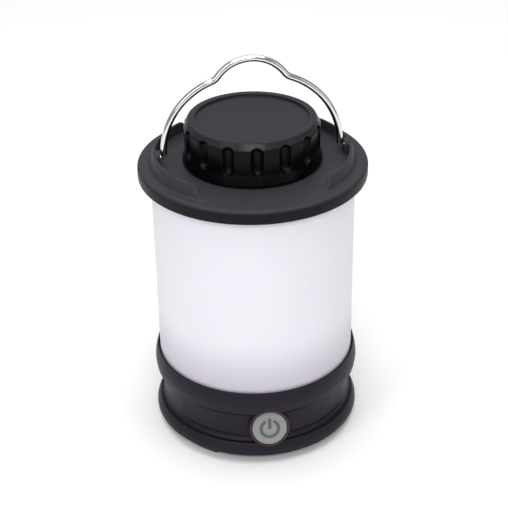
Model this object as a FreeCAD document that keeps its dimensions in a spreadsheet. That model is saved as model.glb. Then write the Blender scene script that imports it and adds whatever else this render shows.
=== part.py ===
"""Camping lantern with three side-by-side cells under a screw cap, a frosted shade and a wire bail.

Frame: +Z up, origin on the floor under the lantern's centre, the power button looks towards -Y.
"""
import FreeCAD
import Part
import math
import os
import Sketcher
from FreeCAD import Placement, Rotation, Vector

os.makedirs("parts", exist_ok=True)
doc = FreeCAD.newDocument("lantern")
sheet = doc.addObject("Spreadsheet::Sheet", "dims")

# Driving dimensions, in millimetres and degrees.
DIMENSIONS = {
    # clearances
    "slip_gap": 0.35,  # between a sleeve and what slides in it
    "part_gap": 0.3,  # between pieces that move past each other
    "pin_gap": 0.06,  # running fit of a pin, radial
    "bury": 0.4,  # how far an added boss reaches into its wall
    # cells and bay
    "cell_radius": 9.2,
    "cell_length": 65.3,
    "cell_gap": 0.2,
    "nub_radius": 3.4,
    "nub_height": 1.1,
    # shade
    "shade_radius": 40.3,
    "shade_wall": 2.0,
    "gasket_thick": 1.0,
    "gasket_width": 2.6,
    # top housing
    "deck_height": 118.1,
    "deck_thick": 2.5,
    "ring_overhang": 4.9,
    "ring_depth": 5.6,
    "ring_round": 1.3,
    "lip_round": 0.8,
    "neck_wall": 1.8,
    "neck_clear": 2.5,  # from the neck's top to the roof of the closed cap
    "seal_low": 1.6,
    "seal_width": 1.5,
    "seal_depth": 1.0,
    "key_width": 3.0,
    "key_depth": 0.9,
    "wall_inset": 2.5,
    "wall_top": 0.9,
    "wall_foot": 2.8,
    "wall_height": 4.8,
    "wall_full": 48.0,  # half angle of a crescent's full height, off the X axis
    "wall_end": 57.5,  # half angle where its ramps reach the deck
    # bail
    "wire_radius": 1.3,
    "pivot_rise": 3.2,
    "lug_radius": 2.65,
    "lug_inset": 4.2,
    "hole_depth": 2.4,
    "leg_gap": 0.25,
    "bend_radius": 1.5,
    "side_radius": 30.35,
    "bump_radius": 15.75,
    "bump_rise": 22.5,
    "kink_radius": 4.7,
    # battery cap
    "cap_lift_gap": 0.4,
    "cap_wall": 1.9,
    "cap_height": 17.35,
    "cap_roof": 2.4,
    "bevel_height": 2.7,
    "bevel_inset": 1.6,
    "recess_depth": 0.95,
    "recess_rim": 2.75,
    "skirt_flare": 1.0,
    "skirt_height": 4.4,
    "flute_radius": 2.3,
    "flute_out": 0.2,  # a flute's axis stands this far outside the cap's side
    "flute_foot": 4.2,  # lowest point of a flute above the cap's base
    "flute_rim": 1.95,  # highest point of a flute below the cap's top
    "flute_count": 15,
    "flute_turn": -3.5,
    # contact plate under the cap
    "plate_rise": 3.5,
    "plate_thick": 1.6,
    "contact_radius": 2.4,
    "contact_gap": 0.05,
    "contact_height": 1.65,
    "pin_radius": 1.5,
    "pin_head": 3.2,
    "pin_seat": 5.0,
    "boss_radius": 5.0,
    # column
    "column_wall": 3.2,
    "strip_width": 12.0,
    "strip_thick": 1.2,
    "strip_end": 7.0,
    "led_side": 3.0,
    "led_thick": 0.8,
    "led_count": 6,
    "plate_white": 1.2,
    "screw_radius": 1.25,
    "head_radius": 2.3,
    "head_height": 1.8,
    "screw_grip": 8.0,
    # base
    "collar_top": 34.3,
    "collar_lip": 1.0,
    "belly_height": 28.9,
    "belly_out": 2.2,
    "collar_foot": 24.6,
    "collar_out": 1.5,
    "ledge_in": 0.4,
    "waist_height": 15.2,
    "waist_in": 1.25,
    "seam_height": 10.3,
    "seam_gap": 0.8,
    "seam_in": 0.9,
    "flare_out": 0.5,
    "base_bore_in": 3.5,
    "bulkhead_top": 29.5,
    "bulkhead_thick": 2.5,
    "wire_hole": 10.0,
    "flare_bow": 1.4,  # an arc's radius as a share of its height
    "waist_bow": 8.0,
    "belly_bow": 2.0,
    "shoulder_bow": 2.5,
    "panel_depth": 0.6,
    "panel_angle": 124.0,
    # bottom cover and feet
    "cover_out": 2.55,
    "cover_belly": 4.4,
    "cover_shoulder": 1.0,
    "floor_low": 1.3,
    "floor_thick": 2.5,
    "rim_wall": 1.8,
    "rim_rise": 2.5,
    "undercut_in": 3.8,
    "foot_in": 1.7,
    "foot_out": 1.9,
    "foot_width": 8.0,
    "foot_angle": 54.0,
    "post_radius": 3.2,
    "post_inset": 8.8,  # a post's axis stands this far inside the base's bore
    "cover_grip": 9.0,
    # tripod insert: a 1/4 inch thread, its bore at the tapping size
    "insert_bore": 2.55,
    "insert_radius": 6.0,
    "insert_length": 9.0,
    "insert_flange": 8.0,
    # driver board
    "board_rise": 3.0,
    "board_thick": 1.6,
    "board_screw_circle": 20.0,
    "board_screw": 1.0,
    # button
    "button_radius": 7.05,
    "button_out": 1.1,  # face centre beyond the shade's radius
    "button_height": 16.9,
    "button_tilt": 12.0,
    "button_round": 0.5,
    "button_travel": 0.8,
    "button_gap": 0.2,
    "button_proud": 0.5,
    "button_skirt": 2.6,
    "button_flange": 0.8,
    "stem_radius": 2.0,
    "stem_length": 2.4,
    "boss_wall": 0.5,
    "bezel_width": 0.75,
    "bezel_depth": 1.2,
    "boss_depth": 5.6,
    "gasket_hole": 2.4,
    "symbol_radius": 4.25,
    "symbol_line": 1.3,
    "symbol_gap": 70.0,
    "symbol_depth": 0.4,
    "switch_side": 6.0,
    "switch_height": 3.2,
    "switch_board_width": 15.6,
    # port
    "port_width": 10.0,
    "port_high": 3.9,
    "port_level": 17.8,
    "flap_thick": 1.5,
    "flap_low": 12.0,
    "flap_tall": 9.6,
    "flap_angle": 24.0,
    "flap_back": 1.7,
    "plug_height": 2.5,
    "plug_width": 8.4,
    "plug_depth": 1.4,
    "roll_long": 10.0,  # the straight roll that the flap turns on
    "pocket_spare": 2.0,  # the flap's pocket is wider than the flap by this angle
    "usb_width": 8.9,
    "usb_tall": 3.2,
    "usb_long": 7.3,
    "usb_wall": 0.35,
    "usb_board_width": 14.2,
    "usb_board_long": 11.0,
    "tongue_width": 6.2,
    "tongue_long": 5.1,
}


class Size:
    """A length or an angle: its number now, and the expression on the sheet that gives it."""

    def __init__(self, value, text):
        self.value = value
        self.text = text

    def __add__(self, other):
        return Size(self.value + number(other), f"({self.text} + {text(other)})")

    def __radd__(self, other):
        return Size(number(other) + self.value, f"({text(other)} + {self.text})")

    def __sub__(self, other):
        return Size(self.value - number(other), f"({self.text} - {text(other)})")

    def __rsub__(self, other):
        return Size(number(other) - self.value, f"({text(other)} - {self.text})")

    def __mul__(self, other):
        return Size(self.value * number(other), f"({self.text} * {text(other)})")

    __rmul__ = __mul__

    def __truediv__(self, other):
        return Size(self.value / number(other), f"({self.text} / {text(other)})")

    def __neg__(self):
        return Size(-self.value, f"(0 - {self.text})")


def number(size):
    """The number of a Size, or the number itself."""
    return size.value if isinstance(size, Size) else float(size)


def text(size):
    """The expression of a Size, or the number as text."""
    return size.text if isinstance(size, Size) else repr(float(size))


def cosine(angle):
    """Cosine of an angle in degrees."""
    return Size(math.cos(math.radians(number(angle))), f"cos({text(angle)} * 1deg)")


def sine(angle):
    """Sine of an angle in degrees."""
    return Size(math.sin(math.radians(number(angle))), f"sin({text(angle)} * 1deg)")


class Dims:
    """Every driving dimension by its name, as a Size."""


dims = Dims()
for row, (alias, amount) in enumerate(DIMENSIONS.items(), 1):
    sheet.set(f"A{row}", alias)
    sheet.set(f"B{row}", str(amount))
    sheet.setAlias(f"B{row}", alias)
    setattr(dims, alias, Size(float(amount), f"dims.{alias}"))
doc.recompute()


def bind(obj, **sizes):
    """Tie properties of an object to the sheet."""
    for name, size in sizes.items():
        if isinstance(size, Size):
            obj.setExpression(name, size.text)
        else:
            setattr(obj, name, size)


def place(obj, at=(0, 0, 0), axis=(0, 0, 1), turn=0):
    """Turn an object about an axis through its origin, then move its origin."""
    obj.Placement = Placement(Vector(*[number(a) for a in at]), Rotation(Vector(*axis), number(turn)))
    for letter, size in zip("xyz", at):
        if isinstance(size, Size):
            obj.setExpression(f"Placement.Base.{letter}", size.text)
    if isinstance(turn, Size):
        obj.setExpression("Placement.Rotation.Angle", turn.text)
    return obj


def cylinder(name, radius, height, at=(0, 0, 0), axis=(0, 0, 1), turn=0):
    """A cylinder standing on its local XY plane."""
    obj = doc.addObject("Part::Cylinder", name)
    bind(obj, Radius=radius, Height=height)
    return place(obj, at, axis, turn)


def block(name, sides, at=(0, 0, 0), axis=(0, 0, 1), turn=0):
    """A box with its first corner at its local origin."""
    obj = doc.addObject("Part::Box", name)
    bind(obj, Length=sides[0], Width=sides[1], Height=sides[2])
    return place(obj, at, axis, turn)


def join(name, pieces):
    """Fuse pieces into one solid."""
    obj = doc.addObject("Part::MultiFuse", name)
    obj.Shapes = pieces
    return obj


def subtract(name, base, tool):
    """Take a tool away from a base."""
    obj = doc.addObject("Part::Cut", name)
    obj.Base = base
    obj.Tool = tool
    return obj


def group(name, pieces):
    """Keep separate solids together as one sub-part."""
    obj = doc.addObject("Part::Compound", name)
    obj.Links = pieces
    return obj


def origin_plane(body, role):
    """One of a body's own origin planes or axes, found by its role."""
    return next(feature for feature in body.Origin.OriginFeatures if feature.Role == role)


def arc_centre(first, last, radius):
    """Centre of the arc from first to last: on the left of travel if the radius is positive."""
    middle = (first + last) * 0.5
    chord = last - first
    reach = math.sqrt(radius * radius - chord.Length * chord.Length / 4)
    left = Vector(-chord.y, chord.x, 0).normalize()
    return middle + left * math.copysign(reach, radius)


def outline(body, name, role, corners):
    """A closed sketch through corners (x, y) or (x, y, radius), all tied to the sheet.

    A radius makes the stretch to the next corner an arc whose centre lies on the left of travel if
    the radius is positive and on the right if it is negative.
    """
    sketch = body.newObject("Sketcher::SketchObject", name)
    sketch.AttachmentSupport = (origin_plane(body, role), "")
    sketch.MapMode = "FlatFace"
    points = [Vector(number(corner[0]), number(corner[1]), 0) for corner in corners]
    starts = []
    for index, corner in enumerate(corners):
        first, last = points[index], points[(index + 1) % len(points)]
        if len(corner) == 2:
            sketch.addGeometry(Part.LineSegment(first, last), False)
            starts.append((1, 2))
            continue
        radius = number(corner[2])
        centre = arc_centre(first, last, radius)
        ends = (first, last) if radius > 0 else (last, first)
        angles = [math.atan2(end.y - centre.y, end.x - centre.x) for end in ends]
        circle = Part.Circle(centre, Vector(0, 0, 1), abs(radius))
        sketch.addGeometry(Part.ArcOfCircle(circle, angles[0], angles[1]), False)
        starts.append((1, 2) if radius > 0 else (2, 1))
    for index, corner in enumerate(corners):
        follower = (index + 1) % len(corners)
        here, there = starts[index], starts[follower]
        sketch.addConstraint(Sketcher.Constraint("Coincident", index, here[1], follower, there[0]))
    for index, corner in enumerate(corners):
        point = starts[index][0]
        for kind, axis_id, size in (("DistanceX", -2, corner[0]), ("DistanceY", -1, corner[1])):
            if number(size) == 0:
                sketch.addConstraint(Sketcher.Constraint("PointOnObject", index, point, axis_id))
                continue
            rule = Sketcher.Constraint(kind, -1, 1, index, point, number(size))
            tie(sketch, sketch.addConstraint(rule), size)
        if len(corner) == 3:
            size = corner[2] if number(corner[2]) > 0 else 0 - corner[2]
            rule = Sketcher.Constraint("Radius", index, number(size))
            tie(sketch, sketch.addConstraint(rule), size)
    return sketch


def tie(sketch, index, size):
    """Tie one constraint of a sketch to the sheet."""
    if isinstance(size, Size):
        sketch.setExpression(f"Constraints[{index}]", size.text)


def new_body(name):
    """An empty PartDesign body."""
    return doc.addObject("PartDesign::Body", name)


def revolved(name, corners, angle=360, centred_on=0):
    """A body turned about Z from an outline of (radius, height) corners.

    A part turn is centred on the direction centred_on, in degrees from +X towards +Y.
    """
    body = new_body(name)
    sketch = outline(body, f"{name}_outline", "XZ_Plane", corners)
    turned = body.newObject("PartDesign::Revolution", f"{name}_turn")
    turned.Profile = sketch
    turned.ReferenceAxis = (sketch, ["V_Axis"])
    bind(turned, Angle=angle)
    if number(angle) < 360:
        turned.Midplane = True
        place(body, turn=centred_on)
    return body


def padded(name, corners, low, tall):
    """A prism on the XY plane from an outline of (x, y) corners, between two heights."""
    body = new_body(name)
    sketch = outline(body, f"{name}_outline", "XY_Plane", corners)
    pad = body.newObject("PartDesign::Pad", f"{name}_pad")
    pad.Profile = sketch
    bind(pad, Length=tall)
    return place(body, (0, 0, low))


def ring(name, inner, outer, low, tall):
    """A plain ring about Z."""
    return revolved(name, [(inner, low), (outer, low), (outer, low + tall), (inner, low + tall)])


# Places worked out from the driving dimensions.
cell_circle = (dims.cell_radius + dims.cell_gap / 2) * (2 / math.sqrt(3))
bay_radius = cell_circle + dims.cell_radius + dims.slip_gap
neck_radius = bay_radius + dims.neck_wall
ceiling = dims.deck_height - dims.deck_thick
ring_radius = dims.shade_radius + dims.ring_overhang
shade_bore = dims.shade_radius + dims.slip_gap
wall_radius = dims.shade_radius - dims.wall_inset
pivot_height = dims.deck_height + dims.pivot_rise
lug_face = dims.shade_radius - dims.lug_inset
cap_bore = neck_radius + dims.slip_gap
cap_radius = cap_bore + dims.cap_wall + dims.flute_radius - dims.flute_out
cap_base = dims.deck_height + dims.cap_lift_gap
cap_top = cap_base + dims.cap_height
neck_top = cap_top - dims.recess_depth - dims.cap_roof - dims.neck_clear
plate_low = dims.deck_height + dims.plate_rise
cell_top = plate_low - dims.contact_height - dims.contact_gap
cell_low = cell_top - dims.cell_length
lower_board_top = cell_low - dims.contact_height - dims.contact_gap
column_flat = bay_radius + dims.column_wall
column_corner = column_flat * (2 / math.sqrt(3))
base_bore = dims.shade_radius - dims.base_bore_in
post_circle = base_bore - dims.post_inset
board_radius = post_circle - dims.post_radius - dims.part_gap
bulkhead_low = dims.bulkhead_top - dims.bulkhead_thick
cover_top = dims.seam_height - dims.seam_gap
floor_top = dims.floor_low + dims.floor_thick
button_turn = 90 - dims.button_tilt
boss_out = dims.button_radius + dims.button_gap + dims.bezel_width + dims.boss_wall
button_face = (0, -(dims.shade_radius + dims.button_out), dims.button_height)


def at_button(obj):
    """Move an object built about +Z to the button's face, +Z along the button's axis outwards."""
    return place(obj, button_face, (1, 0, 0), button_turn)


def around(count, first=0.0):
    """Even directions about Z, in degrees from +X."""
    return [first + 360.0 * index / count for index in range(count)]


def on_circle(radius, angle, height):
    """A point at a radius and direction about Z."""
    return (radius * cosine(angle), radius * sine(angle), height)


def make_top_housing():
    """Flanged ring with its deck, two crescent walls and the bail lugs."""
    core = revolved("top_core", [
        (bay_radius, ceiling),
        (shade_bore, ceiling),
        (shade_bore, dims.deck_height - dims.ring_depth),
        (ring_radius - dims.lip_round, dims.deck_height - dims.ring_depth, dims.lip_round),
        (ring_radius, dims.deck_height - dims.ring_depth + dims.lip_round),
        (ring_radius, dims.deck_height - dims.ring_round, dims.ring_round),
        (ring_radius - dims.ring_round, dims.deck_height),
        (bay_radius, dims.deck_height),
    ])
    wall_low = dims.deck_height - dims.bury
    wall_high = dims.deck_height + dims.wall_height
    pieces = [core]
    section = [
        (wall_radius, wall_low),
        (wall_radius + dims.wall_foot, wall_low),
        (wall_radius + dims.wall_foot, dims.deck_height),
        (wall_radius + dims.wall_top, wall_high),
        (wall_radius, wall_high),
    ]
    for side, heading in (("right", 0), ("left", 180)):
        pieces.append(revolved(f"crescent_{side}", section, dims.wall_end * 2, heading))
    sign = {"right": 1, "left": -1}
    lug_long = wall_radius - lug_face + dims.bury
    for side, way in sign.items():
        start = lug_face if way > 0 else -(lug_face + lug_long)
        pieces.append(block(
            f"lug_{side}", (lug_long, dims.lug_radius * 2, dims.pivot_rise + dims.bury),
            (start, -dims.lug_radius, wall_low)))
        pieces.append(cylinder(
            f"lug_top_{side}", dims.lug_radius, lug_long, (start, 0, pivot_height), (0, 1, 0), 90))
    blank = join("top_blank", pieces)
    tools = []
    for side, way in sign.items():
        start = lug_face - dims.bury if way > 0 else -(lug_face + dims.hole_depth)
        tools.append(cylinder(
            f"bail_hole_{side}", dims.wire_radius + dims.pin_gap, dims.hole_depth + dims.bury,
            (start, 0, pivot_height), (0, 1, 0), 90))
    ramp_full = wall_radius * sine(dims.wall_full)
    ramp_end = wall_radius * sine(dims.wall_end)
    for name, way in (("front", -1), ("back", 1)):
        ramp = new_body(f"ramp_{name}")
        side_view = outline(ramp, f"ramp_{name}_outline", "YZ_Plane", [
            (ramp_full * way, wall_high),
            (ramp_end * way, dims.deck_height),
            (ring_radius * way, dims.deck_height),
            (ring_radius * way, wall_high + dims.bury),
            (ramp_full * way, wall_high + dims.bury),
        ])
        pad = ramp.newObject("PartDesign::Pad", f"ramp_{name}_pad")
        pad.Profile = side_view
        pad.Midplane = True
        bind(pad, Length=ring_radius * 2)
        tools.append(ramp)
    return subtract("top_housing", blank, join("top_tools", tools))


def make_bay_neck():
    """Threaded neck ring on the deck, with the seal's groove and the contact plate's key slot."""
    seal_floor = neck_radius - dims.seal_depth
    seal_foot = dims.deck_height + dims.seal_low
    blank = revolved("neck_blank", [
        (bay_radius, dims.deck_height),
        (neck_radius, dims.deck_height),
        (neck_radius, seal_foot),
        (seal_floor, seal_foot),
        (seal_floor, seal_foot + dims.seal_width),
        (neck_radius, seal_foot + dims.seal_width),
        (neck_radius, neck_top),
        (bay_radius, neck_top),
    ])
    slot = block(
        "key_slot", (dims.key_width, dims.key_depth + dims.bury, neck_top - dims.deck_height + dims.bury * 2),
        (-dims.key_width / 2, bay_radius - dims.bury, dims.deck_height - dims.bury))
    return subtract("bay_neck", blank, slot)


def make_bail():
    """Wire bail: ends in the lugs, two side arcs, a kink each side and a raised bump in the middle."""
    rod = dims.wire_radius.value
    leg = lug_face.value - dims.leg_gap.value - rod
    bend = dims.bend_radius.value
    side = dims.side_radius.value
    bump = dims.bump_radius.value
    kink = dims.kink_radius.value
    tip = lug_face.value + dims.hole_depth.value - dims.part_gap.value / 2
    side_centre = Vector(leg - side, 0, bend)
    bump_centre = Vector(0, 0, dims.bump_rise.value)
    between = bump_centre - side_centre
    far, near = side + kink, bump + kink
    along = (far * far - near * near + between.Length ** 2) / (2 * between.Length)
    across = math.sqrt(far * far - along * along)
    forward = Vector(between).normalize()
    outward = Vector(forward.z, 0, -forward.x)
    kink_centre = side_centre + forward * along + outward * across

    def toward(centre, target, radius):
        return centre + Vector(target - centre).normalize() * radius

    side_end = toward(side_centre, kink_centre, side)
    bump_start = toward(bump_centre, kink_centre, bump)
    kink_middle = toward(kink_centre, (side_end + bump_start) * 0.5, kink)
    side_middle = toward(side_centre, (side_end + Vector(leg, 0, bend)) * 0.5, side)
    corner = Vector(leg + bend, 0, bend)
    bend_middle = corner + Vector(-1, 0, -1).normalize() * bend
    half = [
        Part.LineSegment(Vector(tip, 0, 0), Vector(leg + bend, 0, 0)),
        Part.Arc(Vector(leg + bend, 0, 0), bend_middle, Vector(leg, 0, bend)),
        Part.Arc(Vector(leg, 0, bend), side_middle, side_end),
        Part.Arc(side_end, kink_middle, bump_start),
        Part.Arc(bump_start, toward(bump_centre, bump_centre + Vector(1, 0, 3), bump),
                 bump_centre + Vector(0, 0, bump)),
    ]
    edges = [piece.toShape() for piece in half]
    mirror = [edge.mirror(Vector(0, 0, 0), Vector(1, 0, 0)) for edge in edges]
    path = Part.Wire(Part.__sortEdges__(edges + mirror))
    section = Part.Wire([Part.makeCircle(rod, Vector(tip, 0, 0), Vector(1, 0, 0))])
    bail = doc.addObject("Part::Feature", "bail")
    bail.Shape = path.makePipeShell([section], True, False, 2)
    return place(bail, (0, 0, pivot_height))


def make_battery_cap():
    """Screw cap: bevelled top with a shallow round recess, fifteen thumb flutes and a flared skirt."""
    recess = cap_top - dims.recess_depth
    roof = recess - dims.cap_roof
    boss_low = plate_low + dims.plate_thick + dims.part_gap
    blank = revolved("cap_blank", [
        (0, recess),
        (0, boss_low + dims.pin_seat),
        (dims.pin_radius, boss_low + dims.pin_seat),
        (dims.pin_radius, boss_low),
        (dims.boss_radius, boss_low),
        (dims.boss_radius, roof),
        (cap_bore, roof),
        (cap_bore, cap_base),
        (cap_radius + dims.skirt_flare, cap_base),
        (cap_radius + dims.skirt_flare, cap_base + dims.skirt_flare, -dims.skirt_height * 2),
        (cap_radius, cap_base + dims.skirt_height),
        (cap_radius, cap_top - dims.bevel_height),
        (cap_radius - dims.bevel_inset, cap_top),
        (cap_radius - dims.bevel_inset - dims.recess_rim, cap_top),
        (cap_radius - dims.bevel_inset - dims.recess_rim, recess),
    ])
    radius = dims.flute_radius
    low = cap_base + dims.flute_foot
    high = cap_top - dims.flute_rim
    flutes = []
    for index, heading in enumerate(around(int(dims.flute_count.value), dims.flute_turn.value - 90)):
        flute = revolved(f"flute_{index}", [
            (0, low, radius),
            (radius, low + radius),
            (radius, high - radius, radius),
            (0, high),
        ])
        flutes.append(place(flute, on_circle(cap_radius + dims.flute_out, heading, 0)))
    return subtract("battery_cap", blank, join("flutes", flutes))


def make_shade():
    """Frosted tube, its ends seated in the top housing and in the base's collar."""
    return ring("shade", dims.shade_radius - dims.shade_wall, dims.shade_radius,
                dims.bulkhead_top + dims.gasket_thick,
                ceiling - dims.bulkhead_top - dims.gasket_thick * 2)


def make_gaskets():
    """Flat rings at both ends of the shade."""
    inner = dims.shade_radius - dims.gasket_width
    ring("upper_gasket", inner, dims.shade_radius, ceiling - dims.gasket_thick, dims.gasket_thick)
    ring("lower_gasket", inner, dims.shade_radius, dims.bulkhead_top, dims.gasket_thick)


def make_neck_seal():
    """O-ring in the neck's groove."""
    seal = doc.addObject("Part::Torus", "neck_seal")
    radius = dims.seal_width / 2 - dims.pin_gap * 2
    bind(seal, Radius1=neck_radius - dims.seal_depth + radius + dims.pin_gap, Radius2=radius)
    middle = dims.deck_height + dims.seal_low + dims.seal_width / 2
    return place(seal, (0, 0, middle))


def make_contact_plate():
    """Round board that hangs under the cap, kept from turning by its key, and its three contacts."""
    disc = revolved("plate_disc", [
        (dims.pin_radius + dims.pin_gap, plate_low),
        (bay_radius - dims.slip_gap, plate_low),
        (bay_radius - dims.slip_gap, plate_low + dims.plate_thick),
        (dims.pin_radius + dims.pin_gap, plate_low + dims.plate_thick),
    ])
    key_reach = dims.slip_gap + dims.key_depth - dims.part_gap
    key = block(
        "plate_key",
        (dims.key_width - dims.part_gap * 2, key_reach + dims.bury, dims.plate_thick),
        (dims.part_gap - dims.key_width / 2, bay_radius - dims.slip_gap - dims.bury, plate_low))
    join("contact_plate", [disc, key])
    buttons = []
    for index, heading in enumerate(around(3, 90.0)):
        buttons.append(cylinder(
            f"cap_contact_{index}", dims.contact_radius, dims.contact_height,
            on_circle(cell_circle, heading, plate_low - dims.contact_height)))
    group("cap_contacts", buttons)
    head = plate_low - dims.head_height
    revolved("plate_pin", [
        (0, head + dims.part_gap / 2 - dims.contact_gap),
        (dims.pin_head, head + dims.part_gap / 2 - dims.contact_gap),
        (dims.pin_head, plate_low - dims.part_gap),
        (dims.pin_radius, plate_low - dims.part_gap),
        (dims.pin_radius, plate_low + dims.plate_thick + dims.part_gap + dims.pin_seat),
        (0, plate_low + dims.plate_thick + dims.part_gap + dims.pin_seat),
    ])


def make_cells():
    """Three cylindrical cells, each a can with its raised cap."""
    for index, heading in enumerate(around(3, 90.0), 1):
        can = dims.cell_length - dims.nub_height
        spot = on_circle(cell_circle, heading, cell_low)
        body = revolved(f"cell_{index}", [
            (0, 0),
            (dims.cell_radius, 0),
            (dims.cell_radius, can),
            (dims.nub_radius, can),
            (dims.nub_radius, dims.cell_length),
            (0, dims.cell_length),
        ])
        place(body, spot)


def make_lower_contacts():
    """Contact board under the cells, its three contacts and the bay floor that carries it."""
    board_low = lower_board_top - dims.plate_thick
    ring("lower_contact_board", dims.pin_radius, bay_radius - dims.slip_gap, board_low,
         dims.plate_thick)
    pads = []
    for index, heading in enumerate(around(3, 90.0)):
        pads.append(cylinder(
            f"lower_contact_{index}", dims.contact_radius, dims.contact_height,
            on_circle(cell_circle, heading, lower_board_top)))
    group("lower_contacts", pads)
    outer = bay_radius - dims.slip_gap
    revolved("bay_floor", [
        (outer - dims.shade_wall, dims.bulkhead_top),
        (outer, dims.bulkhead_top),
        (outer, board_low),
        (dims.nub_radius, board_low),
        (dims.nub_radius, board_low - dims.plate_thick),
        (outer - dims.shade_wall, board_low - dims.plate_thick),
    ])


def make_column():
    """Hexagonal battery tube, the LED strips on its six flats and the LEDs on the strips."""
    tall = ceiling - dims.bulkhead_top
    corners = [(column_corner * cosine(angle), column_corner * sine(angle)) for angle in around(6, 30.0)]
    prism = padded("tube_prism", corners, dims.bulkhead_top, tall)
    tools = [cylinder("tube_bore", bay_radius, tall + dims.bury * 2,
                      (0, 0, dims.bulkhead_top - dims.bury))]
    screw_circle = (bay_radius + column_corner) / 2
    screws = []
    holes = []
    for index, heading in enumerate(around(3, 30.0)):
        tools.append(cylinder(
            f"tube_tap_{index}", dims.screw_radius + dims.pin_gap, dims.screw_grip + dims.bury * 2,
            on_circle(screw_circle, heading, dims.bulkhead_top - dims.bury)))
        shank = cylinder(
            f"column_shank_{index}", dims.screw_radius, dims.screw_grip + dims.bulkhead_thick,
            on_circle(screw_circle, heading, bulkhead_low))
        head = cylinder(
            f"column_head_{index}", dims.head_radius, dims.head_height,
            on_circle(screw_circle, heading, bulkhead_low - dims.head_height))
        screws.append(join(f"column_screw_{index}", [shank, head]))
        holes.append(cylinder(
            f"column_hole_{index}", dims.screw_radius + dims.pin_gap,
            dims.bulkhead_thick + dims.bury * 2,
            on_circle(screw_circle, heading, bulkhead_low - dims.bury)))
    subtract("battery_tube", prism, join("tube_tools", tools))
    group("column_screws", screws)
    strip_long = tall - dims.strip_end * 2
    strip_low = dims.bulkhead_top + dims.strip_end
    pitch = strip_long / dims.led_count
    leds = []
    for index, heading in enumerate(around(6)):
        strip = block(
            f"led_strip_{index + 1}", (dims.strip_thick, dims.strip_width, strip_long))
        side = dims.strip_width / 2
        place(strip, (
            column_flat * cosine(heading) + side * sine(heading),
            column_flat * sine(heading) - side * cosine(heading),
            strip_low), turn=heading)
        face = column_flat + dims.strip_thick
        half = dims.led_side / 2
        for step in range(int(dims.led_count.value)):
            leds.append(block(
                f"led_{index}_{step}", (dims.led_thick, dims.led_side, dims.led_side), (
                    face * cosine(heading) + half * sine(heading),
                    face * sine(heading) - half * cosine(heading),
                    strip_low + pitch * (step + 0.5) - half), turn=heading))
    group("leds", leds)
    inner = column_corner + dims.part_gap
    outer = dims.shade_radius - dims.gasket_width - dims.slip_gap
    ring("lower_reflector", inner, outer, dims.bulkhead_top, dims.plate_white)
    ring("upper_reflector", inner, outer, ceiling - dims.plate_white, dims.plate_white)
    return holes


def base_post_headings():
    """Directions of the four posts that take the cover's screws, clear of the button and the port."""
    return (60.0, 120.0, 240.0, 300.0)


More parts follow.
